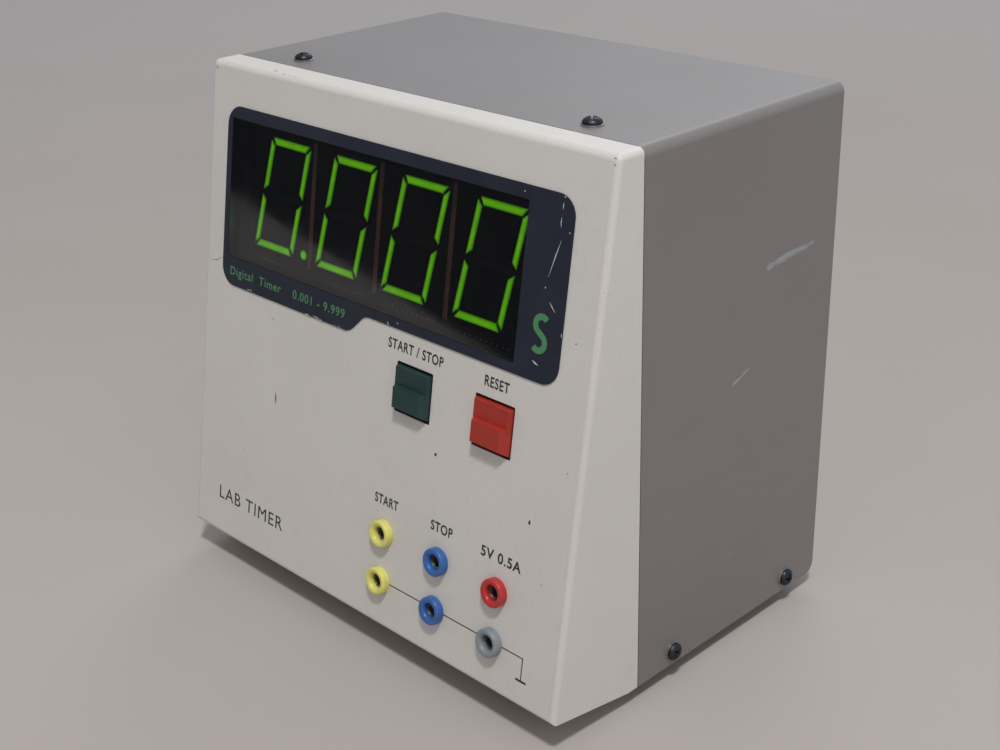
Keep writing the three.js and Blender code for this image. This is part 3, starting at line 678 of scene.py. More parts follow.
def around_window(room, radius):
    """The window's outline with that much room all round, or drawn in where it is below zero."""
    left, right, bottom, top = WINDOW
    return rectangle(left - room, right + room, bottom - room, top + room, radius)


def socket_middle(node):
    return Vector(face_middle(node)) + SOCKET_SHIFT


def on_face(bm):
    """From face millimetres to case millimetres."""
    bm.transform(CASE_INVERSE @ FACE)
    return bm


def front_panel():
    profile = [Vector((0, HEIGHT)), FACE_HEAD, FACE_FOOT, FLOOR_END, Vector((0, 0))]
    bm = loft([[(x, p.x, p.y) for p in profile] for x in (-HALF_WIDTH, HALF_WIDTH)])

    def at(vert, corner):
        return (Vector((vert.co.y, vert.co.z)) - corner).length < 0.01

    def folded(edge):
        ends = [corner for corner in profile for v in edge.verts if at(v, corner)]
        pairs = [(FACE_HEAD, FACE_HEAD), (FACE_FOOT, FACE_FOOT), (FACE_HEAD, FACE_FOOT)]
        pairs.append((profile[0], FACE_HEAD))
        return any(ends in ([a, b], [b, a]) for a, b in pairs)

    bends = [edge for edge in bm.edges if folded(edge)]
    bmesh.ops.bevel(
        bm, geom=bends, offset=PANEL_BEND, segments=8, profile=0.5, affect="EDGES", clamp_overlap=True
    )
    back = [f for f in bm.faces if all(abs(v.co.y) < 0.001 for v in f.verts)]
    bmesh.ops.delete(bm, geom=back, context="FACES")
    shell = new_object("front_panel_shell", bm)
    thicken(shell, PANEL_SHEET)

    through = (-6, 3)
    holes = [prism(around_window(WINDOW_ROOM, 0.8), *through)]
    for node in KEYS:
        x, s = face_middle(node)
        holes.append(prism(square(x, s, KEY_OPENING / 2, 0.6), *through))
    for node in SOCKETS:
        x, s = socket_middle(node)
        holes.append(moved(cylinder(SOCKET_NECK + SOCKET_ROOM, *through), x, s, 0))
    combine(shell, "DIFFERENCE", [on_face(hole) for hole in holes])
    soften(shell, 0.18, 2)
    add("front_panel_shell", shell, CASE, "cream_paint", ["front_panel"])


def thicken(obj, sheet):
    """Gives an open outer surface the thickness of the sheet, inwards."""
    modifier = obj.modifiers.new("sheet", "SOLIDIFY")
    modifier.thickness = sheet
    modifier.offset = -1
    modifier.use_even_offset = True
    modifier.use_rim = True
    apply_modifiers(obj)


def panel_lips():
    """Strips behind the seam, which the cover slides over."""
    inner = HALF_WIDTH - COVER_SHEET - 0.3
    top = HEIGHT - COVER_SHEET - 0.3
    strips = [block(-90, 90, -3, 15, top - PANEL_SHEET, top)]
    for side in (-1, 1):
        x0, x1 = sorted((side * inner, side * (inner - PANEL_SHEET)))
        strips.append(block(x0, x1, -3, 6, 12, 178))
    lips = new_object("front_panel_lips", merged(strips))
    soften(lips, 0.3, 2)
    add("front_panel_lips", lips, CASE, "cream_paint")


def cover():
    corners = [
        (HALF_WIDTH, 0, 0),
        (HALF_WIDTH, HEIGHT, COVER_BEND),
        (-HALF_WIDTH, HEIGHT, COVER_BEND),
        (-HALF_WIDTH, 0, 0),
    ]
    outline = rounded(corners, 8)
    bm = bmesh.new()
    front, back = [[bm.verts.new((p.x, y, p.y)) for p in outline] for y in (SEAM_GAP, DEPTH)]
    for i in range(len(outline) - 1):
        bm.faces.new((front[i], back[i], back[i + 1], front[i + 1]))
    shell = new_object("cover_shell", bm)
    thicken(shell, COVER_SHEET)
    lower_rear = [
        (DEPTH + 1, -1, 0),
        (DEPTH + 1, COVER_REAR_CORNER, 0),
        (DEPTH, COVER_REAR_CORNER, 0),
        (DEPTH, 0, COVER_REAR_CORNER - 0.01),
        (DEPTH - COVER_REAR_CORNER, 0, 0),
        (DEPTH - COVER_REAR_CORNER, -1, 0),
    ]
    corner = rounded(lower_rear, 8)
    reach = HALF_WIDTH + 1
    combine(shell, "DIFFERENCE", [loft([[(x, p.x, p.y) for p in corner] for x in (-reach, reach)])])
    soften(shell, 0.25, 2)
    add("cover_shell", shell, CASE, "taupe_paint", ["cover"])


# ---------------------------------------------------------------- rear panel
# The bodies and the mouths of the fittings are half sizes, across and up.
INLET_BODY = (13.2, 9.6)
INLET_MOUTH = (12, 8.2)
SWITCH_BODY = (6.6, 10.2)
SWITCH_MOUTH = (5.5, 9.4)
INLET_CORNER = 4.5
INLET_BLADES = ((-7, -1.5), (0, 2), (7, -1.5))
SWITCH_FLOOR = 91
ROCKER_VALLEY = 5.0
ROCKER_RISE = 0.9
ROCKER_REACH = 6
ROCKER_TILT = math.radians(8)
FUSE_BODY = 6.1
REAR_SHEET = 1.5
REAR_BEND = 1.8
REAR_ROOM = 0.4
VENT_COLUMNS = (-48, 0, 48)
VENT_ROWS = [112 + 8 * row for row in range(6)]
VENT_SIZE = (38.0, 3.2)
REAR_LOW, REAR_HIGH = extent("rear_panel", CASE_INVERSE)


def rear_place(node):
    """The X and Z of a rear fitting's middle."""
    low, high = extent(node, CASE_INVERSE)
    return (low.x + high.x) / 2, (low.z + high.z) / 2


def backwards(bm, x, z):
    """Turns a body built along +Z to point out of the back, at a rear fitting's place."""
    bm.transform(Matrix.Translation((x, 0, z)) @ Matrix.Rotation(-math.pi / 2, 4, "X"))
    return bm


def rear_panel():
    half = REAR_HIGH.x
    corners = [
        (half, REAR_LOW.z, 0),
        (half, REAR_HIGH.z, COVER_BEND),
        (-half, REAR_HIGH.z, COVER_BEND),
        (-half, REAR_LOW.z, 0),
    ]
    outline = [(p.x, p.y) for p in rounded(corners, 8)]
    bm = loft([[(x, y, z) for x, z in outline] for y in (REAR_LOW.y, REAR_HIGH.y)])
    rim = [e for e in bm.edges if all(abs(v.co.y - REAR_HIGH.y) < 0.01 for v in e.verts)]
    bmesh.ops.bevel(bm, geom=rim, offset=REAR_BEND, segments=5, profile=0.5, affect="EDGES")
    front = [f for f in bm.faces if all(abs(v.co.y - REAR_LOW.y) < 0.01 for v in f.verts)]
    bmesh.ops.delete(bm, geom=front, context="FACES")
    panel = new_object("rear_panel_shell", bm)
    thicken(panel, REAR_SHEET)

    length, height = VENT_SIZE
    through = (REAR_HIGH.y - 4, REAR_HIGH.y + 2)
    holes = []
    for x in VENT_COLUMNS:
        for z in VENT_ROWS:
            x0, x1, z0, z1 = x - length / 2, x + length / 2, z - height / 2, z + height / 2
            slot = rectangle(x0, x1, -z1, -z0, height / 2 - 0.01)
            holes.append(backwards(prism(slot, *through), 0, 0))
    for node, (half_x, half_z) in (("mains_inlet", INLET_BODY), ("power_switch", SWITCH_BODY)):
        x, z = rear_place(node)
        opening = centred(half_x + REAR_ROOM, half_z + REAR_ROOM, 0.5)
        holes.append(backwards(prism(opening, *through), x, z))
    x, z = rear_place("fuse_holder")
    holes.append(backwards(cylinder(FUSE_BODY + REAR_ROOM, *through), x, z))
    combine(panel, "DIFFERENCE", [merged(holes)])
    soften(panel, 0.25, 2)
    add("rear_panel_shell", panel, CASE, "taupe_paint", ["rear_panel"])


def mains_inlet():
    """Inlet with a lipped flange, a deep cavity with cut lower corners, and three blades."""
    low, high = extent("mains_inlet", CASE_INVERSE)
    x, z = rear_place("mains_inlet")
    half_x = (high.x - low.x) / 2
    half_z = (high.z - low.z) / 2
    seat = REAR_HIGH.y
    flange = prism(centred(half_x, half_z, 2.5), seat, high.y)
    body = prism(centred(*INLET_BODY, 1), low.y, seat + 1)
    shell = new_object("mains_inlet_shell", backwards(flange, x, z))
    combine(shell, "UNION", [backwards(body, x, z)])
    width, height = INLET_MOUTH
    cut = INLET_CORNER
    corners = [
        (-width, -height, 1),
        (width, -height, 1),
        (width, height - cut, 0.8),
        (width - cut, height, 0.8),
        (-width + cut, height, 0.8),
        (-width, height - cut, 0.8),
    ]
    mouth = rounded(corners, 4)
    combine(shell, "DIFFERENCE", [backwards(prism(mouth, low.y + 3, high.y + 1), x, z)])
    soften(shell, 0.4, 2)
    add("mains_inlet_shell", shell, CASE, "black_plastic", ["mains_inlet"])
    root, tip = low.y + 2.5, low.y + 13
    blades = [block(dx - 1, dx + 1, -dz - 2, -dz + 2, root, tip) for dx, dz in INLET_BLADES]
    pins = new_object("mains_inlet_blades", merged([backwards(b, x, z) for b in blades]))
    soften(pins, 0.45, 3)
    add("mains_inlet_blades", pins, CASE, "plated_steel")


def power_switch():
    low, high = extent("power_switch", CASE_INVERSE)
    x, z = rear_place("power_switch")
    half_x = (high.x - low.x) / 2
    half_z = (high.z - low.z) / 2
    seat = REAR_HIGH.y
    frame_rim = prism(centred(half_x, half_z, 1.2), seat, high.y)
    body = prism(centred(*SWITCH_BODY, 0.6), low.y, seat + 0.5)
    shell = new_object("power_switch_frame", backwards(frame_rim, x, z))
    combine(shell, "UNION", [backwards(body, x, z)])
    mouth = prism(centred(*SWITCH_MOUTH), SWITCH_FLOOR, high.y + 1)
    combine(shell, "DIFFERENCE", [backwards(mouth, x, z)])
    soften(shell, 0.35, 2)
    add("power_switch_frame", shell, CASE, "black_plastic", ["power_switch"])


def rocker_face(z):
    """How far the rocker's hollow face stands out at a height above its pivot."""
    return ROCKER_VALLEY + ROCKER_RISE * (z / ROCKER_REACH) ** 2


def power_rocker():
    """The rocker at rest: a shallow valley with a ridge at each end, tipped to on."""
    pivot = CASE_INVERSE @ Vector(joint("power_rocker_tilt")["pos_m"])
    outline = [(-4.5, -3), (6.6, -8.2), (6.9, -7.4)]
    outline += [(rocker_face(z), z) for z in range(-ROCKER_REACH, ROCKER_REACH + 1)]
    outline += [(6.9, 7.4), (6.6, 8.2), (-4.5, 3)]
    bm = loft([[(x, y, z) for y, z in outline] for x in (-5, 5)])
    stance = Matrix.Translation(pivot) @ Matrix.Rotation(ROCKER_TILT, 4, "X")
    bm.transform(stance)
    rocker = new_object("power_rocker_key", bm)
    soften(rocker, 0.4, 3, 35)
    rocker_marks(stance)
    add("power_rocker_key", rocker, CASE, "black_plastic", ["power_rocker"], "power_rocker")


def rocker_marks(stance):
    """The on and off marks, printed on the curved face of the rocker."""
    width = 0.4
    ring = [Vector((0, -4.6)) + spoke * 1.25 for spoke in spokes(32)]
    bar = [(0, 3.4), (0, 4.6), (0, 5.8)]
    marks = merged([stroke(ring + ring[:1], width), stroke(bar, width)])
    for v in marks.verts:
        v.co.z += rocker_face(v.co.y)
    outward = Matrix(((-1, 0, 0, 0), (0, 0, 1, 0), (0, 1, 0, 0), (0, 0, 0, 1)))
    marks.transform(stance @ outward)
    obj = new_object("marks", marks)
    add("power_rocker_marks", obj, CASE, "cream_paint", body="power_rocker", finish=WHITE_PRINT)


def fuse_holder():
    low, high = extent("fuse_holder", CASE_INVERSE)
    x, z = rear_place("fuse_holder")
    seat = REAR_HIGH.y
    profile = [(0, low.y), (FUSE_BODY, low.y), (FUSE_BODY, seat), (8.2, seat)]
    profile += [(8.2, high.y - 0.8), (7.6, high.y - 0.1), (7.2, high.y), (5, high.y), (4.7, high.y - 0.3)]
    profile += [(4.7, low.y + 3), (0, low.y + 3)]
    body = new_object("fuse_holder_body", backwards(turned(profile), x, z))
    add("fuse_holder_body", body, CASE, "black_plastic", ["fuse_holder"])


def fuse_cap():
    """Bayonet cap with grip ribs and a driver slot."""
    low, high = extent("fuse_cap", CASE_INVERSE)
    x, z = rear_place("fuse_cap")
    back = high.y
    shoulder = back - 5.3
    profile = [(0, low.y), (4.2, low.y), (4.2, shoulder), (6.5, shoulder), (6.5, back - 0.9)]
    profile += [(6.1, back - 0.25), (5.5, back), (0, back)]
    cap = new_object("fuse_cap_knob", backwards(turned(profile), x, z))
    ribs = []
    for k in range(16):
        rib = prism(rectangle(6.1, 6.8, -0.45, 0.45, 0.3), shoulder + 0.3, back - 1)
        rib.transform(Matrix.Rotation(2 * math.pi * k / 16, 4, "Z"))
        ribs.append(backwards(rib, x, z))
    combine(cap, "UNION", [merged(ribs)])
    combine(cap, "DIFFERENCE", [backwards(block(-7, 7, -0.8, 0.8, back - 1.4, back + 1), x, z)])
    soften(cap, 0.15, 2, 35)
    add("fuse_cap_knob", cap, CASE, "black_plastic", ["fuse_cap"], "fuse_cap")


# ---------------------------------------------------------------- screws and feet
SCREW_HEAD = 3.35
SCREW_DOME = 2.6
# Outer radius, bore and sheet.
WASHER = (3.75, 1.9, 0.5)
WASHER_TEETH = 16
SCREW_NODES = [f"top_screw_{side}" for side in ("left", "right")]
SCREW_NODES += [f"side_screw_{side}_{end}" for side in ("left", "right") for end in ("front", "rear")]
SCREW_NODES += [f"rear_screw_{side}" for side in ("left", "right")]


def screw_head():
    """Domed head about +Z with its seat at zero, and a tapered cross recess."""
    brim = 0.7
    rise = SCREW_DOME - brim
    profile = [(0, 0.35), (SCREW_HEAD - 0.25, 0.35), (SCREW_HEAD - 0.05, 0.5)]
    for k in range(9):
        angle = math.radians(10 * k)
        profile.append((SCREW_HEAD * math.cos(angle) ** 0.9, brim + rise * math.sin(angle)))
    profile.append((0, SCREW_DOME))
    head = new_object("screw_head", turned(profile))
    bars = []
    for turn in (0, math.pi / 2):
        rings = []
        for half_length, half_width, z in ((1.2, 0.22, 0.9), (2.1, 0.48, SCREW_DOME + 0.2)):
            rings.append([(x, y, z) for x, y in centred(half_length, half_width)])
        bar = loft(rings)
        bar.transform(Matrix.Rotation(turn, 4, "Z"))
        bars.append(bar)
    combine(head, "DIFFERENCE", bars)
    soften(head, 0.1, 2, 35)
    return head


def screw_washer():
    """A lock washer, with teeth cut round its rim."""
    radius, bore, sheet = WASHER
    profile = [(bore, 0), (radius - 0.1, 0), (radius, 0.1), (radius, sheet - 0.15)]
    profile += [(radius - 0.2, sheet), (bore, sheet)]
    washer = new_object("washer", turned(profile, 64))
    notches = []
    for k in range(WASHER_TEETH):
        notch = block(radius - 0.35, radius + 1, -0.2, 0.2, -1, 1)
        notch.transform(Matrix.Rotation(2 * math.pi * k / WASHER_TEETH, 4, "Z"))
        notches.append(notch)
    combine(washer, "DIFFERENCE", [merged(notches)])
    return washer


def screw_seat(node):
    """Where a screw sits: it looks out of the case along the axis on which it stands proud."""
    low, high = extent(node, CASE_INVERSE)
    middle = (low + high) / 2
    if node.startswith("top"):
        return Matrix.Translation((middle.x, middle.y, HEIGHT))
    if node.startswith("rear"):
        turn = Matrix.Rotation(-math.pi / 2, 4, "X")
        return Matrix.Translation((middle.x, REAR_HIGH.y, middle.z)) @ turn
    side = 1 if middle.x > 0 else -1
    turn = Matrix.Rotation(side * math.pi / 2, 4, "Y")
    return Matrix.Translation((side * HALF_WIDTH, middle.y, middle.z)) @ turn


def screws():
    patterns = {"head": screw_head(), "washer": screw_washer()}
    finishes = {"head": "black_steel", "washer": "plated_steel"}
    generator = random.Random(5)
    for node in SCREW_NODES:
        seat = CASE @ screw_seat(node) @ Matrix.Rotation(generator.uniform(0, math.pi), 4, "Z")
        for part, pattern in patterns.items():
            bm = bmesh.new()
            bm.from_mesh(pattern.data)
            nodes = [node] if part == "head" else []
            add(f"{node}_{part}", new_object(part, bm), seat, finishes[part], nodes)
    for pattern in patterns.values():
        bpy.data.objects.remove(pattern)


def feet():
    for number in range(1, 5):
        node = f"foot_{number}"
        low, high = extent(node, CASE_INVERSE)
        sole = low.z
        profile = [(0, sole + 0.5), (2.5, sole + 0.5), (3, sole), (7.5, sole)]
        profile += arc((7.7, sole + 1.3), 1.3, -90, -5, 5)
        profile += [(9.7, 0.5), (9.4, 0.75), (0, 0.75)]
        foot = moved(turned(profile), (low.x + high.x) / 2, (low.y + high.y) / 2, 0)
        add(f"{node}_bumper", new_object("foot", foot), CASE, "rubber", [node])


# ---------------------------------------------------------------- display
BEZEL_TOP = 0.45
BEZEL_STEP = 7.7
PANE_FACE = 0.28
PANE_BACK = -2.2
PANE_ROOM = 0.12
# The hood's inner and outer walls stand this far outside the window.
HOOD_WALLS = (0.1, 1.2)
HOOD_DEPTH = 3
HOOD_FLOOR = 0.6
DIGIT = {"half_width": 11.55, "half_height": 21.0, "across": 2.7, "upright": 2.4, "slant": 0.183}
DIGIT_SHIFT = Vector((0.4, 0.0))
POINT_PLACE = Vector((14.1, -18.7))
POINT_RADIUS = 1.8
SEGMENT_RISE = 0.25
POINT_DIGIT = 1


def bezel():
    low, high = extent("bezel_plate", FACE_INVERSE)
    left, right, bottom, top = low.x + 0.4, high.x + 0.1, low.y, high.y
    outline = [
        (left, top, 7.5),
        (left, bottom, 7.5),
        (-12.5, bottom, 7),
        (-12.5 + BEZEL_STEP, bottom + BEZEL_STEP, 6),
        (right, bottom + BEZEL_STEP, 7),
        (right, top, 7),
    ]
    plate = new_object("bezel", prism(rounded(outline, 10), 0, BEZEL_TOP))
    combine(plate, "DIFFERENCE", [prism(rectangle(*WINDOW, 0.5), -1, 3)])
    soften(plate, 0.16, 2)
    add("bezel_cover_plate", plate, FACE, "navy_plate", ["bezel_plate"])


def window():
    window_pane = new_object("window", prism(around_window(-PANE_ROOM, 0.4), PANE_BACK, PANE_FACE))
    soften(window_pane, 0.15, 2)
    add("window_smoked_pane", window_pane, FACE, "smoked_window", ["window_pane"])


def display_hood():
    """The black tray behind the window, in whose floor the modules sit."""
    back = extent("digit_module_1", FACE_INVERSE)[1].z - HOOD_DEPTH
    hood = new_object("hood", prism(around_window(HOOD_WALLS[1], 0.5), back, -0.03))
    combine(hood, "DIFFERENCE", [prism(around_window(HOOD_WALLS[0], 0.3), back + HOOD_FLOOR, 1)])
    add("display_hood", hood, FACE, "black_plastic", finish=MODULE_BLACK)


def leaning(points, middle):
    """Digit points with the slant put on, about the digit's middle on the face."""
    return [(middle.x + x + DIGIT["slant"] * y, middle.y + y) for x, y in points]


def segment_outlines():
    """The six outer segments and the middle one of a digit, about its middle."""
    w, h, across, upright = (DIGIT[k] for k in ("half_width", "half_height", "across", "upright"))
    mitre = 0.5
    clip = 0.6
    waist = 1.0
    top = [(-w + clip + mitre, h), (w - clip - mitre, h), (w - upright - mitre, h - across)]
    top.append((-w + upright + mitre, h - across))
    side = [(-w, h - clip - mitre), (-w + upright, h - across - mitre)]
    side += [(-w + upright, waist + upright * 0.8), (-w, waist)]
    outlines = []
    for flip_y in (1, -1):
        outlines.append([(x, y * flip_y) for x, y in top])
        outlines += [[(x * flip_x, y * flip_y) for x, y in side] for flip_x in (1, -1)]
    reach = w - upright * 0.55
    half = across / 2
    middle = [(-reach, 0), (-reach + half, half), (reach - half, half), (reach, 0)]
    middle += [(reach - half, -half), (-reach + half, -half)]
    return outlines, middle


def counterclockwise(points):
    area = sum(a[0] * b[1] - b[0] * a[1] for a, b in zip(points, points[1:] + points[:1]))
    return points if area > 0 else points[::-1]


def inset(points, depth):
    """A convex outline drawn in by the depth."""
    drawn = []
    for before, point, after in zip(points[-1:] + points[:-1], points, points[1:] + points[:1]):
        first = (point - before).normalized()
        second = (after - point).normalized()
        normals = Vector((-first.y, first.x)), Vector((-second.y, second.x))
        drawn.append(point + (normals[0] + normals[1]) * depth / (1 + normals[0].dot(normals[1])))
    return drawn


def glowing(name, outlines, front):
    """Raised segments with a "rim" attribute, which is one at the rim and nothing at the core."""
    bm = bmesh.new()
    rim = bm.verts.layers.float.new("rim")
    top = front + SEGMENT_RISE
    for outline in outlines:
        rings = []
        for depth, z, at_rim in ((0, front - 0.3, 1), (0, top - 0.08, 1), (0.08, top, 1), (0.85, top, 0)):
            ring = [bm.verts.new((p.x, p.y, z)) for p in inset(outline, depth)]
            for vert in ring:
                vert[rim] = at_rim
            rings.append(ring)
        bridge(bm, rings)
        bm.faces.new(rings[-1])
        bm.faces.new(rings[0][::-1])
    return new_object(name, bm)


def digits():
    lit, unlit = segment_outlines()
    dot = spokes(24)
    for number in range(1, 5):
        node = f"digit_module_{number}"
        low, high = extent(node, FACE_INVERSE)
        middle = Vector(((low.x + high.x) / 2, (low.y + high.y) / 2))
        module = prism(rectangle(low.x, high.x, low.y, high.y, 0.5), low.z, high.z)
        body = new_object(node, module)
        soften(body, 0.3, 2)
        add(f"{node}_body", body, FACE, "black_plastic", [node], finish=MODULE_BLACK)

        middle += DIGIT_SHIFT
        outlines = [[Vector(p) for p in counterclockwise(leaning(part, middle))] for part in lit]
        point = [middle + POINT_PLACE + spoke * POINT_RADIUS for spoke in dot]
        bar = [(x, y, 0.25) for x, y in counterclockwise(leaning(unlit, middle))]
        dark = [prism(rounded(bar, 3), high.z - 0.3, high.z + 0.1)]
        if number == POINT_DIGIT:
            outlines.append(point)
        else:
            dark.append(prism(point, high.z - 0.3, high.z + 0.1))
        name = f"digit_{number}_lit_segments"
        add(name, glowing(name, outlines, high.z), FACE, "display_green")
        rest = new_object("rest", merged(dark))
        soften(rest, 0.05, 2)
        add(f"digit_{number}_dark_segments", rest, FACE, "display_dark")


def joint_strips():
    """Brown strips over the joints between the modules, and the row of pins below them."""
    boxes = [extent(f"digit_module_{n}", FACE_INVERSE) for n in range(1, 5)]
    front = boxes[0][1].z
    bottom, top = boxes[0][0].y, boxes[0][1].y
    for number, (left, right) in enumerate(zip(boxes, boxes[1:]), 1):
        x = (left[1].x + right[0].x) / 2
        outline = rectangle(x - 1, x + 1, bottom, top, 0.2)
        strip = new_object("strip", prism(outline, front - 0.1, front + 0.3))
        soften(strip, 0.1, 2)
        add(f"module_joint_strip_{number}", strip, FACE, "joint_strip")

    ledge_low = bottom - 5.5
    left, right = boxes[0][0].x, boxes[-1][1].x
    ledge = new_object("ledge", block(left, right, ledge_low, bottom - 0.2, front - 2.4, front - 0.8))
    soften(ledge, 0.2, 2)
    add("display_pin_ledge", ledge, FACE, "black_plastic")
    pins = []
    pitch = 2.54
    for low, high in boxes:
        count = 10
        first = (low.x + high.x) / 2 - pitch * (count - 1) / 2
        for k in range(count):
            profile = [(0, front - 1.0), (0.4, front - 1.0), (0.35, front - 0.7)]
            profile += [(0.2, front - 0.5), (0, front - 0.45)]
            pins.append(moved(turned(profile, 10), first + k * pitch, bottom - 2.6, 0))
    add("display_pins", new_object("pins", merged(pins)), FACE, "plated_steel")


# ---------------------------------------------------------------- keys and sockets
# The radius of the springs' wire, how often they turn, and the steps in a turn.
SPRING_WIRE = 0.28
SPRING_TURNS = 7
SPRING_STEPS = 24
COLLAR_RADIUS = 5.0
COLLAR_TOP = 3.0
COLLAR_BACK = -12.0
COLLAR_BORE = 2.85
COLLAR_THROAT = 2.6


def key_surround(x, s):
    """The black sleeve that lines a key's opening."""
    outer = KEY_OPENING / 2 - 0.05
    inner = outer - 0.35
    surround = new_object("surround", prism(square(x, s, outer, 0.6), -3, -0.12))
    combine(surround, "DIFFERENCE", [prism(square(x, s, inner, 0.4), -4, 1)])
    return surround


def keys():
    """Each cap is low in its upper half and raised in its lower half, with a sloping step."""
    for node, slot in KEYS.items():
        x, s = face_middle(node)
        low, high = extent(node, FACE_INVERSE)
        half_x = (high.x - low.x) / 2
        half_s = (high.y - low.y) / 2
        top = high.z
        skirt = block(-half_x, half_x, -half_s, half_s, -4, 0.05)

        def level(x_in, s0, s1, z):
            reach = half_x - x_in
            return [(-reach, s0, z), (reach, s0, z), (reach, s1, z), (-reach, s1, z)]

        raised = loft([
            level(0, -half_s, 1.65, 0),
            level(1.05, -half_s + 0.8, 1.3, top * 0.55),
            level(1.9, -half_s + 1.6, 0.9, top),
        ])
        flush = loft([level(0, 0, half_s, 0), level(0.5, 0, half_s - 0.35, 1.6)])
        cap = new_object(node, skirt)
        combine(cap, "UNION", [raised, flush])
        soften(cap, 0.24, 3, 20)
        cap.data.transform(Matrix.Translation((x, s, 0)))
        add(f"{node}_cap", cap, FACE, slot, [node], node)
        add(f"{node}_surround", key_surround(x, s), FACE, "black_plastic")


def collar_profile():
    """Insulating collar: a neck through the panel, a stout ring, and a funnel down to the bore."""
    neck = SOCKET_NECK
    back = COLLAR_BACK
    brow = 0.75
    profile = [(COLLAR_BORE, back), (neck - 0.3, back), (neck, back + 0.3), (neck, 0)]
    profile += [(COLLAR_RADIUS - 0.12, 0), (COLLAR_RADIUS, 0.12)]
    profile += arc((COLLAR_RADIUS - brow, COLLAR_TOP - brow), brow, 0, 90, 7)
    profile += [(3.9, 2.97), (3.5, 2.86), (3.15, 2.66), (2.85, 2.36), (2.66, 1.9)]
    return profile + [(COLLAR_THROAT, 1.2), (COLLAR_THROAT, -0.5), (COLLAR_BORE, -0.5)]


def contact_profile():
    """Turned tube with a rounded mouth and a waist that grips the plug."""
    return [
        (0, -20),
        (2.2, -20),
        (2.4, -19.7),
        (2.4, 0.75),
        (2.33, 0.9),
        (2.22, 0.92),
        (2.1, 0.8),
        (1.9, -0.3),
        (1.75, -5),
        (1.75, -8),
        (2.0, -10),
        (2.0, -17),
        (0, -17),
    ]


def sockets():
    """Collars round sprung contact tubes, which are slit so that they grip a plug."""
    for index, (node, slot) in enumerate(SOCKETS.items()):
        x, s = socket_middle(node)
        collar = new_object("collar", turned(collar_profile(), 64))
        collar.data.transform(Matrix.Translation((x, s, 0)))
        add(f"{node}_collar", collar, FACE, slot, [node])
        tube = new_object("tube", turned(contact_profile(), 40))
        slits = [block(-0.16, 0.16, -4, 4, -13, 2), block(-4, 4, -0.16, 0.16, -13, 2)]
        combine(tube, "DIFFERENCE", slits)
        tube.data.transform(Matrix.Rotation(math.radians(20 + 25 * index), 4, "Z"))
        tube.data.transform(Matrix.Translation((x, s, 0)))
        add(f"{node}_contact_tube", tube, FACE, "brass", [f"{node}_contact"], finish=NICKEL)


def coil(low, high):
    """A round-wire spring that fills a box, along Z, with one closed turn at each end."""
    wire = SPRING_WIRE
    radius = (high.x - low.x) / 2 - wire
    middle = (low + high) / 2
    up = Vector((0, 0, 1))
    steps = SPRING_STEPS * SPRING_TURNS
    rings = []
    for k in range(steps + 1):
        turns = SPRING_TURNS * k / steps
        rise = min(1, max(0, (turns - 1) / (SPRING_TURNS - 2)))
        angle = 2 * math.pi * turns
        out = Vector((math.cos(angle), math.sin(angle), 0))
        z = low.z + wire + (high.z - low.z - 2 * wire) * rise
        centre = Vector((middle.x, middle.y, z)) + out * radius
        rings.append([centre + (out * spoke.x + up * spoke.y) * wire for spoke in spokes(8)])
    return loft(rings)


def key_springs():
    """Return springs behind the keys."""
    for key in ("start_stop", "reset"):
        node = f"{key}_spring"
        low, high = extent(node, FACE_INVERSE)
        spring = add(f"{node}_coil", new_object(node, coil(low, high)), FACE, "plated_steel", [node])
        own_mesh(spring)


# ---------------------------------------------------------------- printing and marks
INK = 0.035
# How much bolder the labels are than their font, as a share of its size. An M can't take it.
INK_WEIGHT = 0.022


def lettering(name, words, box, slot, surface=0.0, spacing=1.12, weight=INK_WEIGHT):
    """Words fitted into (left, right, low, high) on the face, as raised ink."""
    curve = bpy.data.curves.new(name, "FONT")
    curve.body = words
    curve.space_character = spacing
    curve.extrude = 0.5
    curve.offset = weight
    obj = bpy.data.objects.new(name, curve)
    bpy.context.scene.collection.objects.link(obj)
    graph = bpy.context.evaluated_depsgraph_get()
    mesh = bpy.data.meshes.new_from_object(obj.evaluated_get(graph))
    bpy.data.objects.remove(obj)
    bpy.data.curves.remove(curve)
    bm = bmesh.new()
    bm.from_mesh(mesh)
    bpy.data.meshes.remove(mesh)
    bmesh.ops.remove_doubles(bm, verts=bm.verts, dist=1e-5)
    low = Vector(map(min, zip(*[v.co for v in bm.verts])))
    high = Vector(map(max, zip(*[v.co for v in bm.verts])))
    left, right, bottom, top = box
    for v in bm.verts:
        v.co.x = left + (right - left) * (v.co.x - low.x) / (high.x - low.x)
        v.co.y = bottom + (top - bottom) * (v.co.y - low.y) / (high.y - low.y)
        v.co.z = surface + INK * (v.co.z - low.z) / (high.z - low.z)
    add(name, new_object(name, bm), FACE, slot)


def stroke(path, width, surface=0.0, taper=False):
    """An inked line of even width along a path, or one that thins to its ends."""
    points = [Vector(p) for p in path]
    left, right = [], []
    for i, point in enumerate(points):
        ahead = points[min(i + 1, len(points) - 1)] - points[max(i - 1, 0)]
        across = Vector((-ahead.y, ahead.x)).normalized() * width / 2
        share = i / (len(points) - 1)
        across *= max(0.15, math.sin(math.pi * share)) if taper else 1
        left.append(point + across)
        right.append(point - across)
    return prism([tuple(p) for p in right + left[::-1]], surface - 0.01, surface + INK)


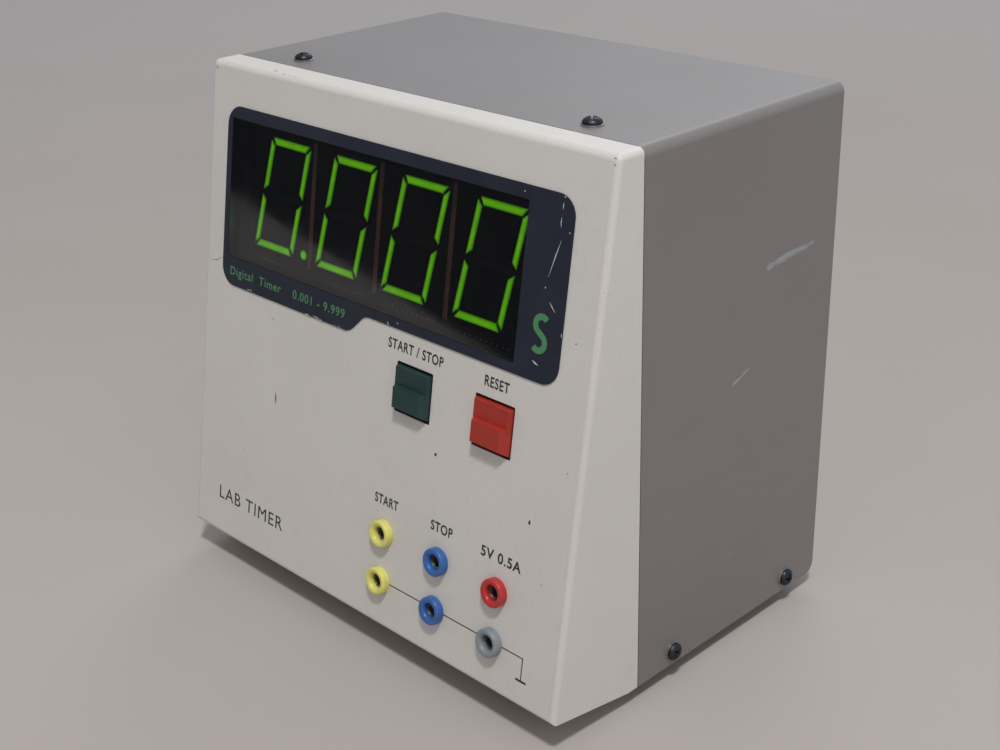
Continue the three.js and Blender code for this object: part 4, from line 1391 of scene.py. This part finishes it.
def seconds_letter():
    """A plain S from two arcs joined by a straight diagonal, for seconds."""
    middle = Vector((77.0, 126.4))
    bowl = Vector((0.35, 2.87))
    radius = 2.6
    angles = [math.radians(42 + 194 * k / 18) for k in range(19)]
    path = [middle + bowl + Vector((math.cos(a), math.sin(a))) * radius for a in angles]
    path += [2 * middle - p for p in reversed(path)]
    letter = new_object("S", stroke(path, 2.1, BEZEL_TOP))
    add("seconds_letter", letter, FACE, "green_print")


def ground_line():
    """The line that joins the lower sockets and ends in the earth symbol."""
    columns = [socket_middle(f"{name}_socket_lower").x for name in ("start", "stop", "supply")]
    s = socket_middle("start_socket_lower").y
    edge = 4.85
    end = 84.3
    foot = 9.6
    stops = columns[1:] + [end + edge]
    lines = [stroke([(a + edge, s), (b - edge, s)], 0.4) for a, b in zip(columns, stops)]
    lines.append(stroke([(end - 0.2, s + 0.2), (end - 0.2, foot)], 0.4))
    lines.append(stroke([(81.8, foot), (86.5, foot)], 0.8))
    add("ground_line", new_object("lines", merged(lines)), FACE, "black_print")


def printing():
    labels = {
        "start_stop_label": ("START / STOP", (8.2, 35.6, 103.3, 107.0)),
        "reset_label": ("RESET", (55.1, 66.2, 103.3, 107.0)),
        "start_label": ("START", (7.2, 19.4, 46.1, 49.8)),
        "stop_label": ("STOP", (36.3, 47.0, 46.1, 49.8)),
        "supply_label": ("5V 0.5A", (60.8, 79.2, 46.0, 49.8)),
        "case_label": ("LAB TIMER", (-84.5, -44.0, 15.2, 20.4)),
    }
    for name, (words, box) in labels.items():
        lettering(name, words, box, "black_print", weight=0 if "M" in words else INK_WEIGHT)
    words = "Digital  Timer    0.001 - 9.999"
    box = (-83, -15.3, 106.1, 110.4)
    lettering("display_label", words, box, "green_print", BEZEL_TOP, 1.15, 0.008)


def blot(x, s, across, along, generator, surface=0.0):
    """A small ragged patch."""
    points = []
    for k in range(11):
        angle = 2 * math.pi * k / 11
        reach = generator.uniform(0.7, 1.15)
        points.append((x + across * reach * math.cos(angle), s + along * reach * math.sin(angle)))
    return prism(points, surface - 0.01, surface + 0.02)


def wear_marks():
    """Dark chips in the cream paint, and pale scratches and edge wear on the dark plate."""
    generator = random.Random(11)
    chips = [(35.6, 72.9, 0.65, 0.6), (80.7, 64.7, 0.5, 0.9), (91.5, 127, 0.3, 0.3)]
    chips += [(94, 86, 0.2, 0.25), (88.5, 46, 0.2, 0.25), (-70, 40, 0.2, 0.25)]
    patches = [blot(x, s, across, along, generator) for x, s, across, along in chips]
    patches.append(stroke([(-52.3, 68.6), (-52.0, 66.4), (-51.9, 64.2)], 0.75, taper=True))
    patches.append(stroke([(-96.2, 109.5), (-92.5, 110.4), (-88.5, 112.4)], 0.22, taper=True))
    add("paint_chips", new_object("chips", merged(patches)), FACE, "black_print")

    scratches = [
        ([(81.0, 168.1), (80.9, 167.1), (81.0, 166.0)], 0.3),
        ([(80.8, 163.6), (80.7, 162), (80.9, 160.5)], 0.3),
        ([(81.6, 156.7), (79.9, 151.4), (77.9, 144.5)], 0.3),
        ([(79.5, 137.1), (80.7, 135.8), (82.1, 134.4)], 0.3),
        ([(74.9, 117.3), (76.2, 116.7), (77.5, 116.3)], 0.5),
        ([(7.2, 112), (7.6, 111.3), (8.1, 110.9)], 0.3),
        ([(85.6, 128.8), (85.7, 128), (85.8, 127.4)], 0.25),
    ]
    surface = BEZEL_TOP
    rubs = [stroke(path, width, surface, taper=True) for path, width in scratches]
    for x, s in ((64.8, 168.4), (81.3, 169.9), (84.6, 159.6), (77.2, 141.1), (12.4, 112.6)):
        rubs.append(blot(x, s, 0.22, 0.28, generator, surface))
    for first, last, count in ((-37.5, -28.5, 14), (-74, -69, 4), (-21, -16, 4)):
        for _ in range(count):
            x = generator.uniform(first, last)
            s = generator.uniform(103.2, 104.0)
            length = generator.uniform(0.4, 1.6)
            path = [(x, s), (x + length / 2, s - 0.1 * length), (x + length, s - 0.25 * length)]
            rubs.append(stroke(path, generator.uniform(0.1, 0.25), surface, taper=True))
    add("plate_scratches", new_object("rubs", merged(rubs)), FACE, "cream_paint")


# ---------------------------------------------------------------- carried-over CAD nodes
def finish_cad_nodes():
    """Gives every CAD node that is still shown its slot's material."""
    slots = {part["node"]: part["material_slot"] for part in frame["record"]["subparts"]}
    for name, obj in frame["nodes"].items():
        obj.data.materials.clear()
        obj.data.materials.append(FINISHES[slots[name]])


# ---------------------------------------------------------------- stage, camera and lights
CAMERA_PLACE = Vector((0.37497, -0.36148, 0.31715))
CAMERA_HEADING = math.radians(45.84)
CAMERA_DIP = math.radians(24.355)
CAMERA_ROLL = math.radians(-1.65)
CAMERA_LENS = 54.45
# The lamps' places in metres, their sizes, powers and colours.
LAMPS = {
    "overhead": ((0.68, -0.58, 1.72), 0.2, 20.0, (1.0, 0.995, 0.985)),
    "side_fill": ((1.5, -0.5, 0.75), 1.2, 2.7, (1.0, 0.97, 0.94)),
    "rear_fill": ((-0.8, 1.5, 1.5), 0.9, 5.6, (0.97, 0.98, 1.0)),
}
LAMP_AIM = Vector((0, 0, 0.09))
# The surround's colours, and how far back its bluer part begins and is full.
FRONT_SKY = (0.370, 0.376, 0.390, 1)
REAR_SKY = (0.59, 0.65, 0.73, 1)
SKY_CHANGE = (0.1, 0.8)
FLOOR_SIZE = 9.0
FLAG_ENDS = (Vector((-1.75, -1.16)), Vector((0.2, -0.336)))
FLAG_HEIGHT = 0.4


def floor():
    finish = Finish("studio_floor", screen(186, 180, 175), 0.7, sockets={"Specular IOR Level": 0.0})
    near = finish.blend(finish.noise(180, 3), screen(181, 173, 168), screen(175, 167, 162))
    # Painted light: the floor's colour grows paler and bluer with distance from the case, standing in for lamp
    # light that falls off far away, so no dark band shows before the surround.
    reach = finish.node("ShaderNodeVectorMath", {0: finish.place}, operation="LENGTH").outputs["Value"]
    finish.paint(finish.blend(finish.span(reach, 0.5, 3.5), near, screen(212, 213, 218)))
    finish.relief((finish.noise(1.2, 2), 0.02))
    bm = bmesh.new()
    bmesh.ops.create_grid(bm, x_segments=8, y_segments=8, size=FLOOR_SIZE)
    obj = new_object("studio_floor", bm)
    obj.data.materials.append(finish.material)


def camera():
    data = bpy.data.cameras.new("camera")
    data.lens = CAMERA_LENS
    data.sensor_width = 36.0
    data.clip_start = 0.01
    data.clip_end = 50.0
    obj = bpy.data.objects.new("camera", data)
    level = math.cos(CAMERA_DIP)
    ahead = Vector(
        (-math.sin(CAMERA_HEADING) * level, math.cos(CAMERA_HEADING) * level, -math.sin(CAMERA_DIP))
    )
    obj.rotation_mode = "QUATERNION"
    obj.rotation_quaternion = ahead.to_track_quat("-Z", "Y") @ Quaternion((0, 0, 1), CAMERA_ROLL)
    obj.location = CAMERA_PLACE
    bpy.context.scene.collection.objects.link(obj)
    bpy.context.scene.camera = obj


def lamp(name, place, size, power, colour):
    """A square area light aimed at the middle of the case."""
    data = bpy.data.lights.new(name, "AREA")
    data.size = size
    data.energy = power
    data.color = colour
    obj = bpy.data.objects.new(name, data)
    obj.location = place
    aim = LAMP_AIM - Vector(place)
    obj.rotation_mode = "QUATERNION"
    obj.rotation_quaternion = aim.to_track_quat("-Z", "Y")
    bpy.context.scene.collection.objects.link(obj)


def studio_world():
    """A grey surround, brighter and bluer behind the case than in front of it."""
    world = bpy.data.worlds.new("studio")
    world.use_nodes = True
    tree = world.node_tree
    place = tree.nodes.new("ShaderNodeTexCoord").outputs["Generated"]
    parts = tree.nodes.new("ShaderNodeSeparateXYZ")
    behind = tree.nodes.new("ShaderNodeMapRange")
    tint = tree.nodes.new("ShaderNodeMix")
    tint.data_type = "RGBA"
    for index, value in zip((1, 2), SKY_CHANGE):
        behind.inputs[index].default_value = value
    for index, colour in zip(MIX_INPUTS, (FRONT_SKY, REAR_SKY)):
        tint.inputs[index].default_value = colour
    tree.links.new(place, parts.inputs[0])
    tree.links.new(parts.outputs["Y"], behind.inputs[0])
    tree.links.new(behind.outputs[0], tint.inputs[0])
    tree.links.new(tint.outputs[MIX_OUTPUT], tree.nodes["Background"].inputs["Color"])
    bpy.context.scene.world = world


def lights():
    for name, settings in LAMPS.items():
        lamp(name, *settings)
    bpy.context.scene.view_settings.view_transform = "Standard"


def flag():
    """A dark studio flag in front of the case, seen only in reflections, so that the upper part
    of the glossy window stays dark."""
    bm = bmesh.new()
    low = [(end.x, end.y, 0) for end in FLAG_ENDS]
    high = [(end.x, end.y, FLAG_HEIGHT) for end in reversed(FLAG_ENDS)]
    bm.faces.new([bm.verts.new(corner) for corner in low + high])
    obj = new_object("flag", bm)
    obj.data.materials.append(Finish("flag", screen(66, 66, 74), 0.9).material)
    for kind in ("camera", "diffuse", "shadow", "transmission", "volume_scatter"):
        setattr(obj, f"visible_{kind}", False)


# ---------------------------------------------------------------- the scene
def build():
    camera()
    studio_world()
    lights()
    floor()
    flag()
    finish_cad_nodes()
    front_panel()
    panel_lips()
    cover()
    rear_panel()
    mains_inlet()
    power_switch()
    power_rocker()
    fuse_holder()
    fuse_cap()
    screws()
    feet()
    bezel()
    window()
    display_hood()
    digits()
    joint_strips()
    keys()
    key_springs()
    sockets()
    printing()
    seconds_letter()
    ground_line()
    wear_marks()


build()
